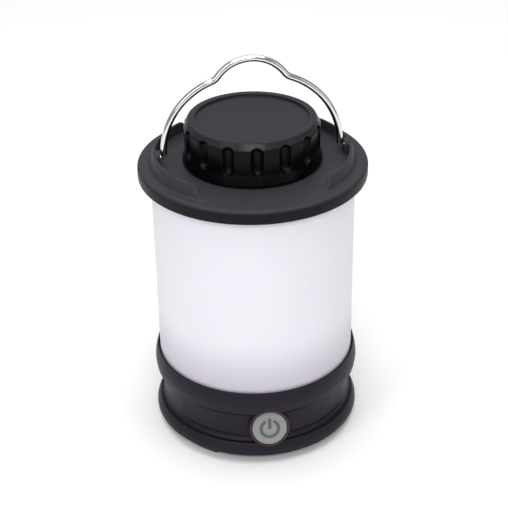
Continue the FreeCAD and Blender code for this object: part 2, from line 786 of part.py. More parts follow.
def make_base_housing(column_holes):
    """Collar, waist and bulkhead in one shell, with the button's boss, the port and four posts."""
    shade = dims.shade_radius
    shell = revolved("base_shell", [
        (base_bore, cover_top),
        (shade - dims.seam_in, cover_top),
        (shade - dims.seam_in, dims.seam_height),
        (shade + dims.flare_out, dims.seam_height, -(dims.waist_height - dims.seam_height) * dims.flare_bow),
        (shade - dims.waist_in, dims.waist_height, -(dims.collar_foot - dims.waist_height) * dims.waist_bow),
        (shade - dims.ledge_in, dims.collar_foot - dims.ledge_in),
        (shade + dims.collar_out - dims.ledge_in, dims.collar_foot, dims.ledge_in * 2),
        (shade + dims.collar_out, dims.collar_foot + dims.ledge_in,
         (dims.belly_height - dims.collar_foot) * dims.belly_bow),
        (shade + dims.belly_out, dims.belly_height, (dims.collar_top - dims.belly_height) * dims.shoulder_bow),
        (shade + dims.collar_lip, dims.collar_top),
        (shade_bore, dims.collar_top),
        (shade_bore, dims.bulkhead_top),
        (dims.wire_hole, dims.bulkhead_top),
        (dims.wire_hole, bulkhead_low),
        (base_bore, bulkhead_low),
    ])
    pieces = [shell]
    for index, heading in enumerate(base_post_headings()):
        pieces.append(cylinder(
            f"post_{index}", dims.post_radius, bulkhead_low - floor_top + dims.bury,
            on_circle(post_circle, heading, floor_top)))
    front = cylinder("boss_clear", boss_out, boss_out)
    at_button(front)
    opened = subtract("base_opened", join("base_blank", pieces), front)
    boss = cylinder("button_boss", boss_out, dims.boss_depth)
    at_button(boss)
    depth_shift = dims.button_proud + dims.boss_depth
    place(boss, (
        0,
        button_face[1] + depth_shift * cosine(dims.button_tilt),
        button_face[2] - depth_shift * sine(dims.button_tilt)), (1, 0, 0), button_turn)
    tools = list(column_holes)
    bore = revolved("button_bore", [
        (0, dims.button_proud),
        (dims.button_radius + dims.button_gap + dims.bezel_width, dims.button_proud),
        (dims.button_radius + dims.button_gap + dims.bezel_width,
         -(dims.button_proud + dims.bezel_depth)),
        (dims.button_radius + dims.button_gap, -(dims.button_proud + dims.bezel_depth)),
        (dims.button_radius + dims.button_gap, -dims.button_skirt),
        (dims.button_radius + dims.button_flange + dims.button_gap, -dims.button_skirt),
        (dims.button_radius + dims.button_flange + dims.button_gap,
         -(dims.button_proud + dims.boss_depth + boss_out)),
        (0, -(dims.button_proud + dims.boss_depth + boss_out)),
    ])
    tools.append(at_button(bore))
    for index, heading in enumerate(base_post_headings()):
        tools.append(cylinder(
            f"post_tap_{index}", dims.screw_radius + dims.pin_gap, dims.cover_grip + dims.bury,
            on_circle(post_circle, heading, floor_top - dims.bury)))
    port_back = shade - dims.flap_back
    tools.append(block(
        "port_slot", (dims.port_width, dims.base_bore_in * 4, dims.port_high),
        (-dims.port_width / 2, base_bore - dims.base_bore_in, dims.port_level - dims.port_high / 2)))
    tools.append(revolved("flap_pocket", [
        (port_back - dims.part_gap, dims.flap_low - dims.part_gap),
        (ring_radius, dims.flap_low - dims.part_gap),
        (ring_radius, dims.flap_low + dims.flap_tall + dims.part_gap * 2),
        (port_back - dims.part_gap, dims.flap_low + dims.flap_tall + dims.part_gap * 2),
    ], dims.flap_angle + dims.pocket_spare, 90))
    waist = shade - dims.waist_in - dims.panel_depth
    for name, heading in (("front", -90), ("back", 90)):
        tools.append(revolved(f"panel_{name}", [
            (waist, dims.waist_height),
            (waist + dims.panel_depth * 1.2, dims.seam_height + dims.panel_depth * 2),
            (ring_radius, dims.seam_height + dims.panel_depth * 2),
            (ring_radius, dims.collar_foot - dims.ledge_in * 2),
            (shade - dims.ledge_in - dims.panel_depth, dims.collar_foot - dims.ledge_in * 2),
        ], dims.panel_angle, heading))
    trimmed = subtract("base_trimmed", opened, join("panel_tools", [tools.pop(), tools.pop()]))
    return subtract("base_housing", join("base_bossed", [trimmed, boss]), join("base_tools", tools))


def make_bottom_cover():
    """Foot ring with its floor, standoffs for the driver board, and the screws that hold both."""
    shade = dims.shade_radius
    shell = revolved("cover_shell", [
        (dims.insert_radius + dims.pin_gap, dims.floor_low),
        (shade - dims.undercut_in, dims.floor_low),
        (shade + dims.cover_out, dims.cover_belly - dims.pin_gap),
        (shade + dims.cover_out, dims.cover_belly, (cover_top - dims.cover_belly) * dims.belly_bow),
        (shade + dims.cover_shoulder, cover_top - dims.lip_round / 2, dims.lip_round),
        (shade + dims.cover_shoulder - dims.lip_round / 2, cover_top),
        (base_bore - dims.part_gap, cover_top),
        (base_bore - dims.part_gap, cover_top + dims.rim_rise),
        (base_bore - dims.part_gap - dims.rim_wall, cover_top + dims.rim_rise),
        (base_bore - dims.part_gap - dims.rim_wall, floor_top),
        (dims.insert_radius + dims.pin_gap, floor_top),
    ])
    pieces = [shell]
    tools = []
    clear = cylinder("cover_boss_clear", boss_out + dims.part_gap, boss_out * 4)
    shift = boss_out * 2
    place(clear, (
        0,
        button_face[1] + shift * cosine(dims.button_tilt),
        button_face[2] - shift * sine(dims.button_tilt)), (1, 0, 0), button_turn)
    tools.append(clear)
    cover_screws = []
    for index, heading in enumerate(base_post_headings()):
        sunk = dims.floor_low + dims.head_height / 2
        tools.append(cylinder(
            f"cover_hole_{index}", dims.screw_radius + dims.pin_gap, dims.floor_thick * 2,
            on_circle(post_circle, heading, dims.floor_low - dims.bury)))
        tools.append(cylinder(
            f"cover_sink_{index}", dims.head_radius + dims.pin_gap, dims.head_height / 2 + dims.bury,
            on_circle(post_circle, heading, dims.floor_low - dims.bury)))
        shank = cylinder(
            f"cover_shank_{index}", dims.screw_radius, floor_top - sunk + dims.cover_grip,
            on_circle(post_circle, heading, sunk))
        head = cylinder(
            f"cover_head_{index}", dims.head_radius, dims.head_height / 2,
            on_circle(post_circle, heading, dims.floor_low))
        cover_screws.append(join(f"cover_screw_{index}", [shank, head]))
    group("cover_screws", cover_screws)
    board_screws = []
    board_low = floor_top + dims.board_rise
    board_holes = []
    for index, heading in enumerate(around(3, 90.0)):
        spot = on_circle(dims.board_screw_circle, heading, 0)
        pieces.append(cylinder(
            f"standoff_{index}", dims.head_radius, dims.board_rise + dims.bury,
            (spot[0], spot[1], floor_top - dims.bury)))
        tools.append(cylinder(
            f"standoff_tap_{index}", dims.board_screw + dims.pin_gap, dims.board_rise + dims.bury,
            (spot[0], spot[1], floor_top)))
        shank = cylinder(
            f"board_shank_{index}", dims.board_screw, dims.board_rise + dims.board_thick,
            (spot[0], spot[1], floor_top))
        head = cylinder(
            f"board_head_{index}", dims.head_radius - dims.bury, dims.head_height / 2,
            (spot[0], spot[1], board_low + dims.board_thick))
        board_screws.append(join(f"board_screw_{index}", [shank, head]))
        board_holes.append(cylinder(
            f"board_hole_{index}", dims.board_screw + dims.pin_gap, dims.board_thick + dims.bury * 2,
            (spot[0], spot[1], board_low - dims.bury)))
    group("board_screws", board_screws)
    subtract("bottom_cover", join("cover_blank", pieces), join("cover_tools", tools))
    disc = ring("board_disc", dims.insert_flange + dims.part_gap, board_radius, board_low,
                dims.board_thick)
    subtract("driver_board", disc, join("board_tools", board_holes))


def make_feet():
    """Three rubber feet under the foot ring, with a gap at the front."""
    shade = dims.shade_radius
    undercut_rise = dims.cover_belly - dims.pin_gap - dims.floor_low
    share = (dims.undercut_in + dims.foot_out) / (dims.undercut_in + dims.cover_out)
    section = [
        (shade - dims.foot_in - dims.foot_width, 0),
        (shade - dims.foot_in, 0),
        (shade + dims.foot_out, dims.floor_low + undercut_rise * share - dims.pin_gap),
        (shade - dims.undercut_in + dims.pin_gap * 2, dims.floor_low),
        (shade - dims.foot_in - dims.foot_width, dims.floor_low),
    ]
    for name, heading in (("right", -30), ("left", -150), ("rear", 90)):
        revolved(f"foot_{name}", section, dims.foot_angle, heading)


def make_tripod_insert():
    """Flanged insert with the tripod thread's bore."""
    revolved("tripod_insert", [
        (dims.insert_bore, dims.floor_low),
        (dims.insert_radius, dims.floor_low),
        (dims.insert_radius, floor_top),
        (dims.insert_flange, floor_top),
        (dims.insert_flange, floor_top + dims.plate_thick),
        (dims.insert_radius, floor_top + dims.plate_thick),
        (dims.insert_radius, dims.floor_low + dims.insert_length),
        (dims.insert_bore, dims.floor_low + dims.insert_length),
    ])


def symbol_shapes(name, low, tall):
    """The power symbol as an open ring and a bar, as prisms in the button's frame."""
    inner = dims.symbol_radius - dims.symbol_line
    arc = revolved(f"{name}_arc", [
        (inner, low), (dims.symbol_radius, low), (dims.symbol_radius, low + tall), (inner, low + tall),
    ], 360 - dims.symbol_gap, -90)
    half = dims.symbol_line / 2
    bar = block(f"{name}_bar", (dims.symbol_line, dims.symbol_radius, tall), (-half, 0, low))
    return arc, bar


def make_button():
    """Round translucent button with an inlaid power symbol, its bezel, gasket, switch and board."""
    face = dims.button_radius - dims.button_round
    flange = dims.button_radius + dims.button_flange
    skirt = -dims.button_skirt
    blank = revolved("button_blank", [
        (0, skirt - dims.button_flange - dims.stem_length),
        (dims.stem_radius, skirt - dims.button_flange - dims.stem_length),
        (dims.stem_radius, skirt - dims.button_flange),
        (flange, skirt - dims.button_flange),
        (flange, skirt - dims.pin_gap),
        (dims.button_radius, skirt - dims.pin_gap),
        (dims.button_radius, -dims.button_round, dims.button_round),
        (face, 0),
        (0, 0),
    ])
    tools = symbol_shapes("symbol_pocket", -dims.symbol_depth, dims.symbol_depth * 2)
    button = subtract("button_cap", blank, join("symbol_tools", list(tools)))
    at_button(button)
    inlay = group("power_symbol", list(symbol_shapes("symbol", -dims.symbol_depth, dims.symbol_depth)))
    at_button(inlay)
    inner = dims.button_radius + dims.button_gap
    bezel = ring("button_bezel", inner, inner + dims.bezel_width,
                 -(dims.button_proud + dims.bezel_depth), dims.bezel_depth)
    at_button(bezel)
    gasket_top = skirt - dims.button_flange - dims.button_travel - dims.part_gap
    seal = ring("button_gasket", dims.gasket_hole, flange + dims.button_gap - dims.pin_gap,
                gasket_top - dims.gasket_thick, dims.gasket_thick)
    at_button(seal)
    stem_end = skirt - dims.button_flange - dims.stem_length
    switch_top = stem_end - dims.button_travel - dims.contact_gap
    side = dims.switch_side
    can = block("switch_can", (side, side, dims.switch_height),
                (-side / 2, -side / 2, switch_top - dims.switch_height - dims.part_gap))
    nub = cylinder("switch_nub", dims.stem_radius - dims.bury, dims.part_gap + dims.bury,
                   (0, 0, switch_top - dims.part_gap - dims.bury))
    at_button(join("tact_switch", [can, nub]))
    board_top = switch_top - dims.switch_height - dims.part_gap
    at_button(group("switch_board", [block(
        "switch_panel", (dims.switch_board_width, side * 2, dims.board_thick),
        (-dims.switch_board_width / 2, -side, board_top - dims.board_thick))]))


def make_port():
    """Charging socket on its small board, and the rubber flap that closes the port."""
    shade = dims.shade_radius
    mouth = base_bore - dims.part_gap
    low = dims.port_level - dims.usb_tall / 2
    outer = block("usb_outer", (dims.usb_width, dims.usb_long, dims.usb_tall),
                  (-dims.usb_width / 2, mouth - dims.usb_long, low))
    room = block(
        "usb_room",
        (dims.usb_width - dims.usb_wall * 2, dims.usb_long, dims.usb_tall - dims.usb_wall * 2),
        (dims.usb_wall - dims.usb_width / 2, mouth - dims.usb_long + dims.usb_wall,
         low + dims.usb_wall))
    tongue = block(
        "usb_tongue",
        (dims.tongue_width, dims.tongue_long, dims.usb_wall * 2),
        (-dims.tongue_width / 2, mouth - dims.usb_long + dims.usb_wall / 2,
         dims.port_level - dims.usb_wall))
    shell = subtract("usb_shell", outer, room)
    join("usb_socket", [shell, tongue])
    half = dims.usb_board_width / 2
    edge = mouth - half * half / (base_bore * 2)
    group("usb_board", [block(
        "usb_panel", (dims.usb_board_width, dims.usb_board_long, dims.board_thick),
        (-half, edge - dims.usb_board_long, low - dims.board_thick))])
    back = shade - dims.flap_back
    roll = dims.flap_thick / 2
    plate = revolved("flap_plate", [
        (back, dims.flap_low + roll),
        (back + dims.flap_thick, dims.flap_low + roll),
        (back + dims.flap_thick, dims.flap_low + dims.flap_tall),
        (back, dims.flap_low + dims.flap_tall),
    ], dims.flap_angle, 90)
    plug = block(
        "flap_plug", (dims.plug_width, dims.plug_depth + dims.flap_thick, dims.plug_height),
        (-dims.plug_width / 2, back - dims.plug_depth,
         dims.port_level - dims.port_high / 2 + dims.part_gap))
    knuckle = cylinder(
        "flap_roll", roll, dims.roll_long,
        (-dims.roll_long / 2, back + roll, dims.flap_low + roll), (0, 1, 0), 90)
    join("port_flap", [plate, plug, knuckle])


make_top_housing()
make_bay_neck()
make_bail()
make_battery_cap()
make_shade()
make_gaskets()
make_neck_seal()
make_contact_plate()
make_cells()
make_lower_contacts()
make_base_housing(make_column())
make_bottom_cover()
make_feet()
make_tripod_insert()
make_button()
make_port()

NODES = [
    "top_housing", "bay_neck", "bail", "battery_cap", "shade", "upper_gasket", "lower_gasket", "neck_seal",
    "contact_plate", "cap_contacts", "plate_pin", "cell_1", "cell_2", "cell_3",
    "lower_contact_board", "lower_contacts", "bay_floor", "battery_tube", "column_screws",
    "led_strip_1", "led_strip_2", "led_strip_3", "led_strip_4", "led_strip_5", "led_strip_6",
    "leds", "lower_reflector", "upper_reflector", "base_housing", "bottom_cover", "cover_screws",
    "board_screws", "driver_board", "foot_right", "foot_left", "foot_rear", "tripod_insert",
    "button_cap", "power_symbol", "button_bezel", "button_gasket", "tact_switch", "switch_board",
    "usb_socket", "usb_board", "port_flap",
]

doc.recompute()
failed = [obj.Name for obj in doc.Objects if "Invalid" in obj.State or "Error" in obj.State]
if failed:
    raise RuntimeError(f"failed objects: {failed}")
for node in NODES:
    part = doc.getObject(node)
    part.Label = node
    shape = part.Shape
    if shape.isNull() or not shape.isValid() or not shape.Solids:
        raise RuntimeError(f"{node} has no valid solid")
    print(node, len(shape.Solids), round(shape.Volume, 1))
    shape.exportStep(f"parts/{node}.step")
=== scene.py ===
"""Looks of a camping lantern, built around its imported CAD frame.

Sizes in the classes are millimetres in the lantern's own frame: +Z up, floor at zero, button towards -Y.
"""
import logging
import math
from collections.abc import Sequence
from dataclasses import dataclass, field
from enum import Enum

import bmesh
import bpy
import numpy as np
from mathutils import Matrix, Vector


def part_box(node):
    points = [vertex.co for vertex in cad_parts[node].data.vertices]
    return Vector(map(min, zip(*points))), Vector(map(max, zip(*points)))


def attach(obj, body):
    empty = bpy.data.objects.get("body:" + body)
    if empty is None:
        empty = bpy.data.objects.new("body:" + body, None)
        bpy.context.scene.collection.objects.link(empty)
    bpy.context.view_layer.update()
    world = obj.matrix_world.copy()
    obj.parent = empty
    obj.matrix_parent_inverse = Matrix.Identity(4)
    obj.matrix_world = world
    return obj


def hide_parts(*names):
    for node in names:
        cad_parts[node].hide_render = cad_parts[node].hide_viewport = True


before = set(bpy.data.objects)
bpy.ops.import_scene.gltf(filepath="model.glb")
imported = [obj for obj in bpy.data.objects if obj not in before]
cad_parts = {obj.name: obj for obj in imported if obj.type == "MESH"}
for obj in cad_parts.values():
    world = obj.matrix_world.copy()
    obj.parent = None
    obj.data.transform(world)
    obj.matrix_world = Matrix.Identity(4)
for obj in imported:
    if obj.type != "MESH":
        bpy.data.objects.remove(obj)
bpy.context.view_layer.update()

MM = 0.001
LOG = logging.getLogger("lantern")

Outline = list[tuple[float, float]]
Corner = tuple[float, float, float]


class Body(Enum):
    """Rigid bodies that the pieces ride on."""

    LAMP = "lamp"
    BAIL = "bail"
    CAP = "cap"
    CARRIER = "contact_carrier"
    BUTTON = "button"
    FLAP = "flap"


def linear(hex_colour: str) -> tuple[float, float, float, float]:
    """Turn an sRGB hex colour into linear light.

    Args:
        hex_colour: six hex digits, such as "1c1c1f".

    Returns:
        Red, green, blue and an alpha of one.
    """
    parts = [int(hex_colour[i:i + 2], 16) / 255 for i in (0, 2, 4)]
    light = [p / 12.92 if p <= 0.04045 else ((p + 0.055) / 1.055) ** 2.4 for p in parts]
    return (light[0], light[1], light[2], 1.0)


def add_node(tree: bpy.types.NodeTree, kind: str, inputs: dict | None = None, **settings) -> bpy.types.Node:
    """Add a node with its settings, values and links.

    Args:
        tree: the tree that gets the node.
        kind: the node's type name.
        inputs: socket name or index to a value, or to the output socket that feeds it.
        settings: properties of the node itself.

    Returns:
        The new node.
    """
    node = tree.nodes.new(kind)
    for name, value in settings.items():
        setattr(node, name, value)
    for key, value in (inputs or {}).items():
        if isinstance(value, bpy.types.NodeSocket):
            tree.links.new(value, node.inputs[key])
        else:
            node.inputs[key].default_value = value
    return node


def per_metre(size_mm: float) -> float:
    """Noise scale, in cells per metre, that draws features of a size in millimetres."""
    return 1.0 / (size_mm * MM)


# ---------------------------------------------------------------- finishes


@dataclass(frozen=True)
class Finish:
    """A surface with a fine grain, slow colour drift and slightly uneven gloss."""

    name: str
    colour: str
    drift_colour: str
    roughness: float
    roughness_spread: float = 0.06
    metallic: float = 0.0
    ior: float = 1.5
    grain_mm: float = 0.5
    grain_height_mm: float = 0.01
    drift_mm: float = 14.0
    stretch: tuple[float, float, float] = (1.0, 1.0, 1.0)
    coat: float = 0.0
    subsurface: float = 0.0
    gleam: float = 0.5

    def shader(self, tree: bpy.types.NodeTree) -> bpy.types.Node:
        """Add the shader with the values that hold all over the surface."""
        shader = add_node(tree, "ShaderNodeBsdfPrincipled", {"Metallic": self.metallic})
        if not self.metallic:
            shader.inputs["IOR"].default_value = self.ior
            shader.inputs["Specular IOR Level"].default_value = self.gleam
        if self.coat:
            shader.inputs["Coat Weight"].default_value = self.coat
            shader.inputs["Coat Roughness"].default_value = 0.15
        if self.subsurface:
            shader.inputs["Subsurface Weight"].default_value = self.subsurface
            shader.inputs["Subsurface Scale"].default_value = 1.5 * MM
        return shader

    def place(self, tree: bpy.types.NodeTree) -> bpy.types.NodeSocket:
        """Object coordinates, stretched along the direction the surface was worked in."""
        where = add_node(tree, "ShaderNodeTexCoord")
        mapping = add_node(tree, "ShaderNodeMapping", {"Vector": where.outputs["Object"], "Scale": self.stretch})
        return mapping.outputs["Vector"]

    def colour_field(self, tree: bpy.types.NodeTree, at: bpy.types.NodeSocket) -> bpy.types.NodeSocket:
        """Slow drift between the two colours."""
        drift = add_node(tree, "ShaderNodeTexNoise", {"Vector": at, "Scale": per_metre(self.drift_mm), "Detail": 3.0})
        mix = add_node(tree, "ShaderNodeMix", {0: drift.outputs["Fac"]}, data_type="RGBA")
        mix.inputs[6].default_value = linear(self.colour)
        mix.inputs[7].default_value = linear(self.drift_colour)
        return mix.outputs[2]

    def height_field(self, tree: bpy.types.NodeTree, at: bpy.types.NodeSocket) -> bpy.types.NodeSocket:
        """Height of the grain, from zero to one."""
        grain = add_node(tree, "ShaderNodeTexNoise", {"Vector": at, "Scale": per_metre(self.grain_mm), "Detail": 2.0})
        return grain.outputs["Fac"]

    def build(self) -> bpy.types.Material:
        """Make the material, once for each name.

        Returns:
            The finished material.
        """
        if self.name in bpy.data.materials:
            return bpy.data.materials[self.name]
        material = bpy.data.materials.new(self.name)
        material.use_nodes = True
        tree = material.node_tree
        tree.nodes.clear()
        at = self.place(tree)
        shader = self.shader(tree)
        tree.links.new(self.colour_field(tree, at), shader.inputs["Base Color"])
        height = self.height_field(tree, at)
        bump = add_node(tree, "ShaderNodeBump", {"Height": height, "Distance": self.grain_height_mm * MM, "Strength": 1.0})
        tree.links.new(bump.outputs["Normal"], shader.inputs["Normal"])
        gloss = add_node(tree, "ShaderNodeMapRange", {
            "Value": height, "From Min": 0.3, "From Max": 0.7,
            "To Min": self.roughness - self.roughness_spread, "To Max": self.roughness + self.roughness_spread})
        tree.links.new(gloss.outputs["Result"], shader.inputs["Roughness"])
        add_node(tree, "ShaderNodeOutputMaterial", {"Surface": shader.outputs["BSDF"]})
        return material


@dataclass(frozen=True)
class PaintedShadeFinish(Finish):
    """Finish with painted shade: darker below one height, reaching its own colours above another."""

    painted_shade_colour: str = "808080"
    painted_shade_low_mm: float = 0.0
    painted_shade_high_mm: float = 10.0

    def colour_field(self, tree: bpy.types.NodeTree, at: bpy.types.NodeSocket) -> bpy.types.NodeSocket:
        """Drift between the two colours, mixed by height with the painted shade colour."""
        upper = super().colour_field(tree, at)
        axes = add_node(tree, "ShaderNodeSeparateXYZ", {"Vector": at})
        rise = add_node(tree, "ShaderNodeMapRange", {
            "Value": axes.outputs["Z"], "From Min": self.painted_shade_low_mm * MM, "From Max": self.painted_shade_high_mm * MM},
            interpolation_type="SMOOTHERSTEP")
        mix = add_node(tree, "ShaderNodeMix", {0: rise.outputs["Result"], 7: upper}, data_type="RGBA")
        mix.inputs[6].default_value = linear(self.painted_shade_colour)
        return mix.outputs[2]


@dataclass(frozen=True)
class DrawnWire(Finish):
    """Drawn stainless wire: die lines run along it, read from the wire's own attributes."""

    line_mm: float = 0.35
    run_mm: float = 60.0

    def place(self, tree: bpy.types.NodeTree) -> bpy.types.NodeSocket:
        """Distance along and around the wire."""
        along = add_node(tree, "ShaderNodeAttribute", attribute_name="along")
        around = add_node(tree, "ShaderNodeAttribute", attribute_name="around")
        stretch = add_node(tree, "ShaderNodeMath", {0: along.outputs["Fac"], 1: self.line_mm / self.run_mm},
                           operation="MULTIPLY")
        turn = add_node(tree, "ShaderNodeMath", {0: around.outputs["Fac"], 1: 8 * MM}, operation="MULTIPLY")
        joined = add_node(tree, "ShaderNodeCombineXYZ", {"X": stretch.outputs[0], "Y": turn.outputs[0]})
        return joined.outputs["Vector"]


@dataclass(frozen=True)
class SolderMask(Finish):
    """Circuit board: lacquer over copper, with tracks that show as raised, lighter lines."""

    track_mm: float = 1.6
    track_colour: str = "2f7d54"

    def height_field(self, tree: bpy.types.NodeTree, at: bpy.types.NodeSocket) -> bpy.types.NodeSocket:
        """Raised tracks with square corners."""
        cells = add_node(tree, "ShaderNodeTexBrick", {
            "Vector": at, "Scale": 1.0, "Brick Width": self.track_mm * 4 * MM, "Row Height": self.track_mm * MM,
            "Mortar Size": self.track_mm * 0.18 * MM, "Color1": (0, 0, 0, 1), "Color2": (0.15, 0.15, 0.15, 1),
            "Mortar": (1, 1, 1, 1)})
        return cells.outputs["Color"]

    def colour_field(self, tree: bpy.types.NodeTree, at: bpy.types.NodeSocket) -> bpy.types.NodeSocket:
        """Lacquer colour, lighter over the tracks."""
        ground = super().colour_field(tree, at)
        mix = add_node(tree, "ShaderNodeMix", {0: self.height_field(tree, at), 6: ground}, data_type="RGBA")
        mix.inputs[7].default_value = linear(self.track_colour)
        return mix.outputs[2]


# Powder-coated die-cast aluminium: black, dull, with a fine orange peel. The rim's side below the deck is painted
# darker than the deck, as painted shade.
HOUSING = PaintedShadeFinish("powder_coated_aluminium", "343237", "3a383e", 0.44, 0.05, ior=1.5, grain_mm=0.55,
                      grain_height_mm=0.012, gleam=0.12, painted_shade_colour="131114", painted_shade_low_mm=116.4,
                      painted_shade_high_mm=118.1)
# Hard-anodised aluminium cap: black, closer and glossier than the powder coat. Its side below the bevel is painted
# darker than its bevel and top, as painted shade.
CAP = PaintedShadeFinish("black_anodised_aluminium", "252328", "29272d", 0.27, 0.04, ior=1.5, grain_mm=0.45,
                  grain_height_mm=0.003, gleam=0.11, painted_shade_colour="060507", painted_shade_low_mm=132.9, painted_shade_high_mm=134.2)
# Spark-textured black ABS: an even dull grain with a faint blue cast.
BASE = Finish("spark_textured_abs", "1b161f", "201a25", 0.46, 0.05, ior=1.53, grain_mm=0.6, grain_height_mm=0.012,
              gleam=0.16)
# Opal polycarbonate, satin outside, with painted shade greying it towards its foot next to the collar.
SHADE = PaintedShadeFinish("opal_polycarbonate", "dddce3", "e1e0e7", 0.42, 0.03, ior=1.58, grain_mm=0.8,
                    grain_height_mm=0.003, drift_mm=40.0, subsurface=0.25, painted_shade_colour="bfbbc6",
                    painted_shade_low_mm=32.0, painted_shade_high_mm=62.0)
# Polished drawn stainless steel.
WIRE = DrawnWire("polished_stainless_wire", "e6e3df", "d9d6d3", 0.13, 0.04, metallic=1.0, grain_mm=0.35,
                 grain_height_mm=0.003)
# Nitrile and silicone rubbers: black, dull, slightly dusty.
RUBBER = Finish("moulded_rubber", "121015", "17151a", 0.72, 0.06, ior=1.52, grain_mm=0.7, grain_height_mm=0.02,
                gleam=0.3)
# Translucent grey silicone button.
SILICONE = Finish("translucent_silicone", "858786", "8f918f", 0.4, 0.04, ior=1.41, grain_mm=0.5,
                  grain_height_mm=0.006, subsurface=0.3)
# Printed pad ink under the silicone's surface.
INK = Finish("pad_printed_ink", "4d544f", "555c57", 0.55, 0.04, ior=1.5, grain_mm=0.4, grain_height_mm=0.006)
# Dark red acrylic light ring, unlit.
ACRYLIC = Finish("dark_red_acrylic", "2a0a10", "3a0d15", 0.18, 0.04, ior=1.49, grain_mm=1.2, grain_height_mm=0.002)
# Green solder mask over copper.
BOARD = SolderMask("green_solder_mask", "145236", "175c3c", 0.35, 0.05, ior=1.5, grain_height_mm=0.035)
# White solder mask of LED strips.
STRIP = SolderMask("white_solder_mask", "e6e6df", "eeeee8", 0.4, 0.05, ior=1.5, grain_height_mm=0.035,
                   track_colour="d0cfc4")
# Turned and nickel-free brass.
BRASS = Finish("turned_brass", "c9a24e", "b8903e", 0.28, 0.07, metallic=1.0, grain_mm=0.4, grain_height_mm=0.004,
               stretch=(1.0, 1.0, 6.0))
# Zinc-plated steel of the screws and the socket shell.
STEEL = Finish("zinc_plated_steel", "a9abad", "9a9da1", 0.32, 0.08, metallic=1.0, grain_mm=0.5,
               grain_height_mm=0.004)
# Extruded aluminium: die lines along Z.
EXTRUSION = Finish("extruded_aluminium", "bfc1c4", "adb0b4", 0.34, 0.08, metallic=1.0, grain_mm=0.5,
                   grain_height_mm=0.006, stretch=(1.0, 1.0, 0.03))
# PVC shrink sleeve over a cell.
SLEEVE = Finish("pvc_shrink_sleeve", "27608f", "2d6a9c", 0.26, 0.05, ior=1.54, grain_mm=3.0, grain_height_mm=0.02,
                stretch=(1.0, 1.0, 0.3), coat=0.3)
# Injection-moulded black polyamide inside.
POLYAMIDE = Finish("moulded_polyamide", "202022", "28282b", 0.55, 0.06, ior=1.53, grain_mm=0.7,
                   grain_height_mm=0.012)
# Glossy white reflector plate.
REFLECTOR = Finish("white_polycarbonate", "ecebe6", "f2f1ed", 0.3, 0.04, ior=1.58, grain_mm=1.0,
                   grain_height_mm=0.004)
# Phosphor over the LED dies.
PHOSPHOR = Finish("led_phosphor", "dcc35a", "e6d07a", 0.35, 0.05, ior=1.41, grain_mm=0.3, grain_height_mm=0.01)

CARRIED_OVER = {
    "upper_gasket": RUBBER, "lower_gasket": RUBBER, "neck_seal": RUBBER, "button_gasket": RUBBER,
    "contact_plate": BOARD, "lower_contact_board": BOARD, "driver_board": BOARD, "switch_board": BOARD,
    "usb_board": BOARD, "cap_contacts": BRASS, "lower_contacts": BRASS,
    "plate_pin": STEEL, "column_screws": STEEL, "board_screws": STEEL, "usb_socket": STEEL,
    "cell_1": SLEEVE, "cell_2": SLEEVE, "cell_3": SLEEVE, "bay_floor": POLYAMIDE, "tact_switch": POLYAMIDE,
    "battery_tube": EXTRUSION, "leds": PHOSPHOR, "lower_reflector": REFLECTOR, "upper_reflector": REFLECTOR,
    **{f"led_strip_{index}": STRIP for index in range(1, 7)},
}


# ---------------------------------------------------------------- mesh tools


def rounded(corners: Sequence[Corner], closed: bool = True, pieces: int = 6) -> Outline:
    """Replace the corners of an outline by tangent arcs.

    Args:
        corners: (x, y, radius) of each corner; a radius of zero keeps it sharp.
        closed: whether the last corner joins the first.
        pieces: segments of each arc.

    Returns:
        The outline's points.
    """
    points: Outline = []
    count = len(corners)
    for index, (x, y, radius) in enumerate(corners):
        ends = not closed and index in (0, count - 1)
        if radius == 0 or ends:
            points.append((x, y))
            continue
        here = Vector((x, y))
        back = Vector(corners[index - 1][:2]) - here
        ahead = Vector(corners[(index + 1) % count][:2]) - here
        half = back.angle(ahead) / 2
        reach = min(radius / math.tan(half), back.length * 0.49, ahead.length * 0.49)
        radius = reach * math.tan(half)
        centre = here + (back.normalized() + ahead.normalized()).normalized() * (radius / math.sin(half))
        first = here + back.normalized() * reach - centre
        last = here + ahead.normalized() * reach - centre
        sweep = first.angle_signed(last)
        for step in range(pieces + 1):
            turn = Matrix.Rotation(-sweep * step / pieces, 2)
            point = centre + turn @ first
            points.append((point.x, point.y))
    return points


def refined(outline: Outline, step: float, beyond: float = 0.0, below: float = math.inf) -> Outline:
    """Divide an outline's long stretches.

    Args:
        outline: radius and height of each point, in millimetres.
        step: no stretch in the divided part is longer.
        beyond: a stretch that starts and ends inside this radius is left whole.
        below: a stretch that starts and ends above this height is left whole.

    Returns:
        The outline with its added points.
    """
    points: Outline = []
    for index, first in enumerate(outline):
        last = outline[(index + 1) % len(outline)]
        shaped = max(first[0], last[0]) > beyond and min(first[1], last[1]) < below
        parts = max(1, math.ceil(math.dist(first, last) / step)) if shaped else 1
        points += [tuple(np.array(first) + (np.array(last) - np.array(first)) * k / parts) for k in range(parts)]
    return points


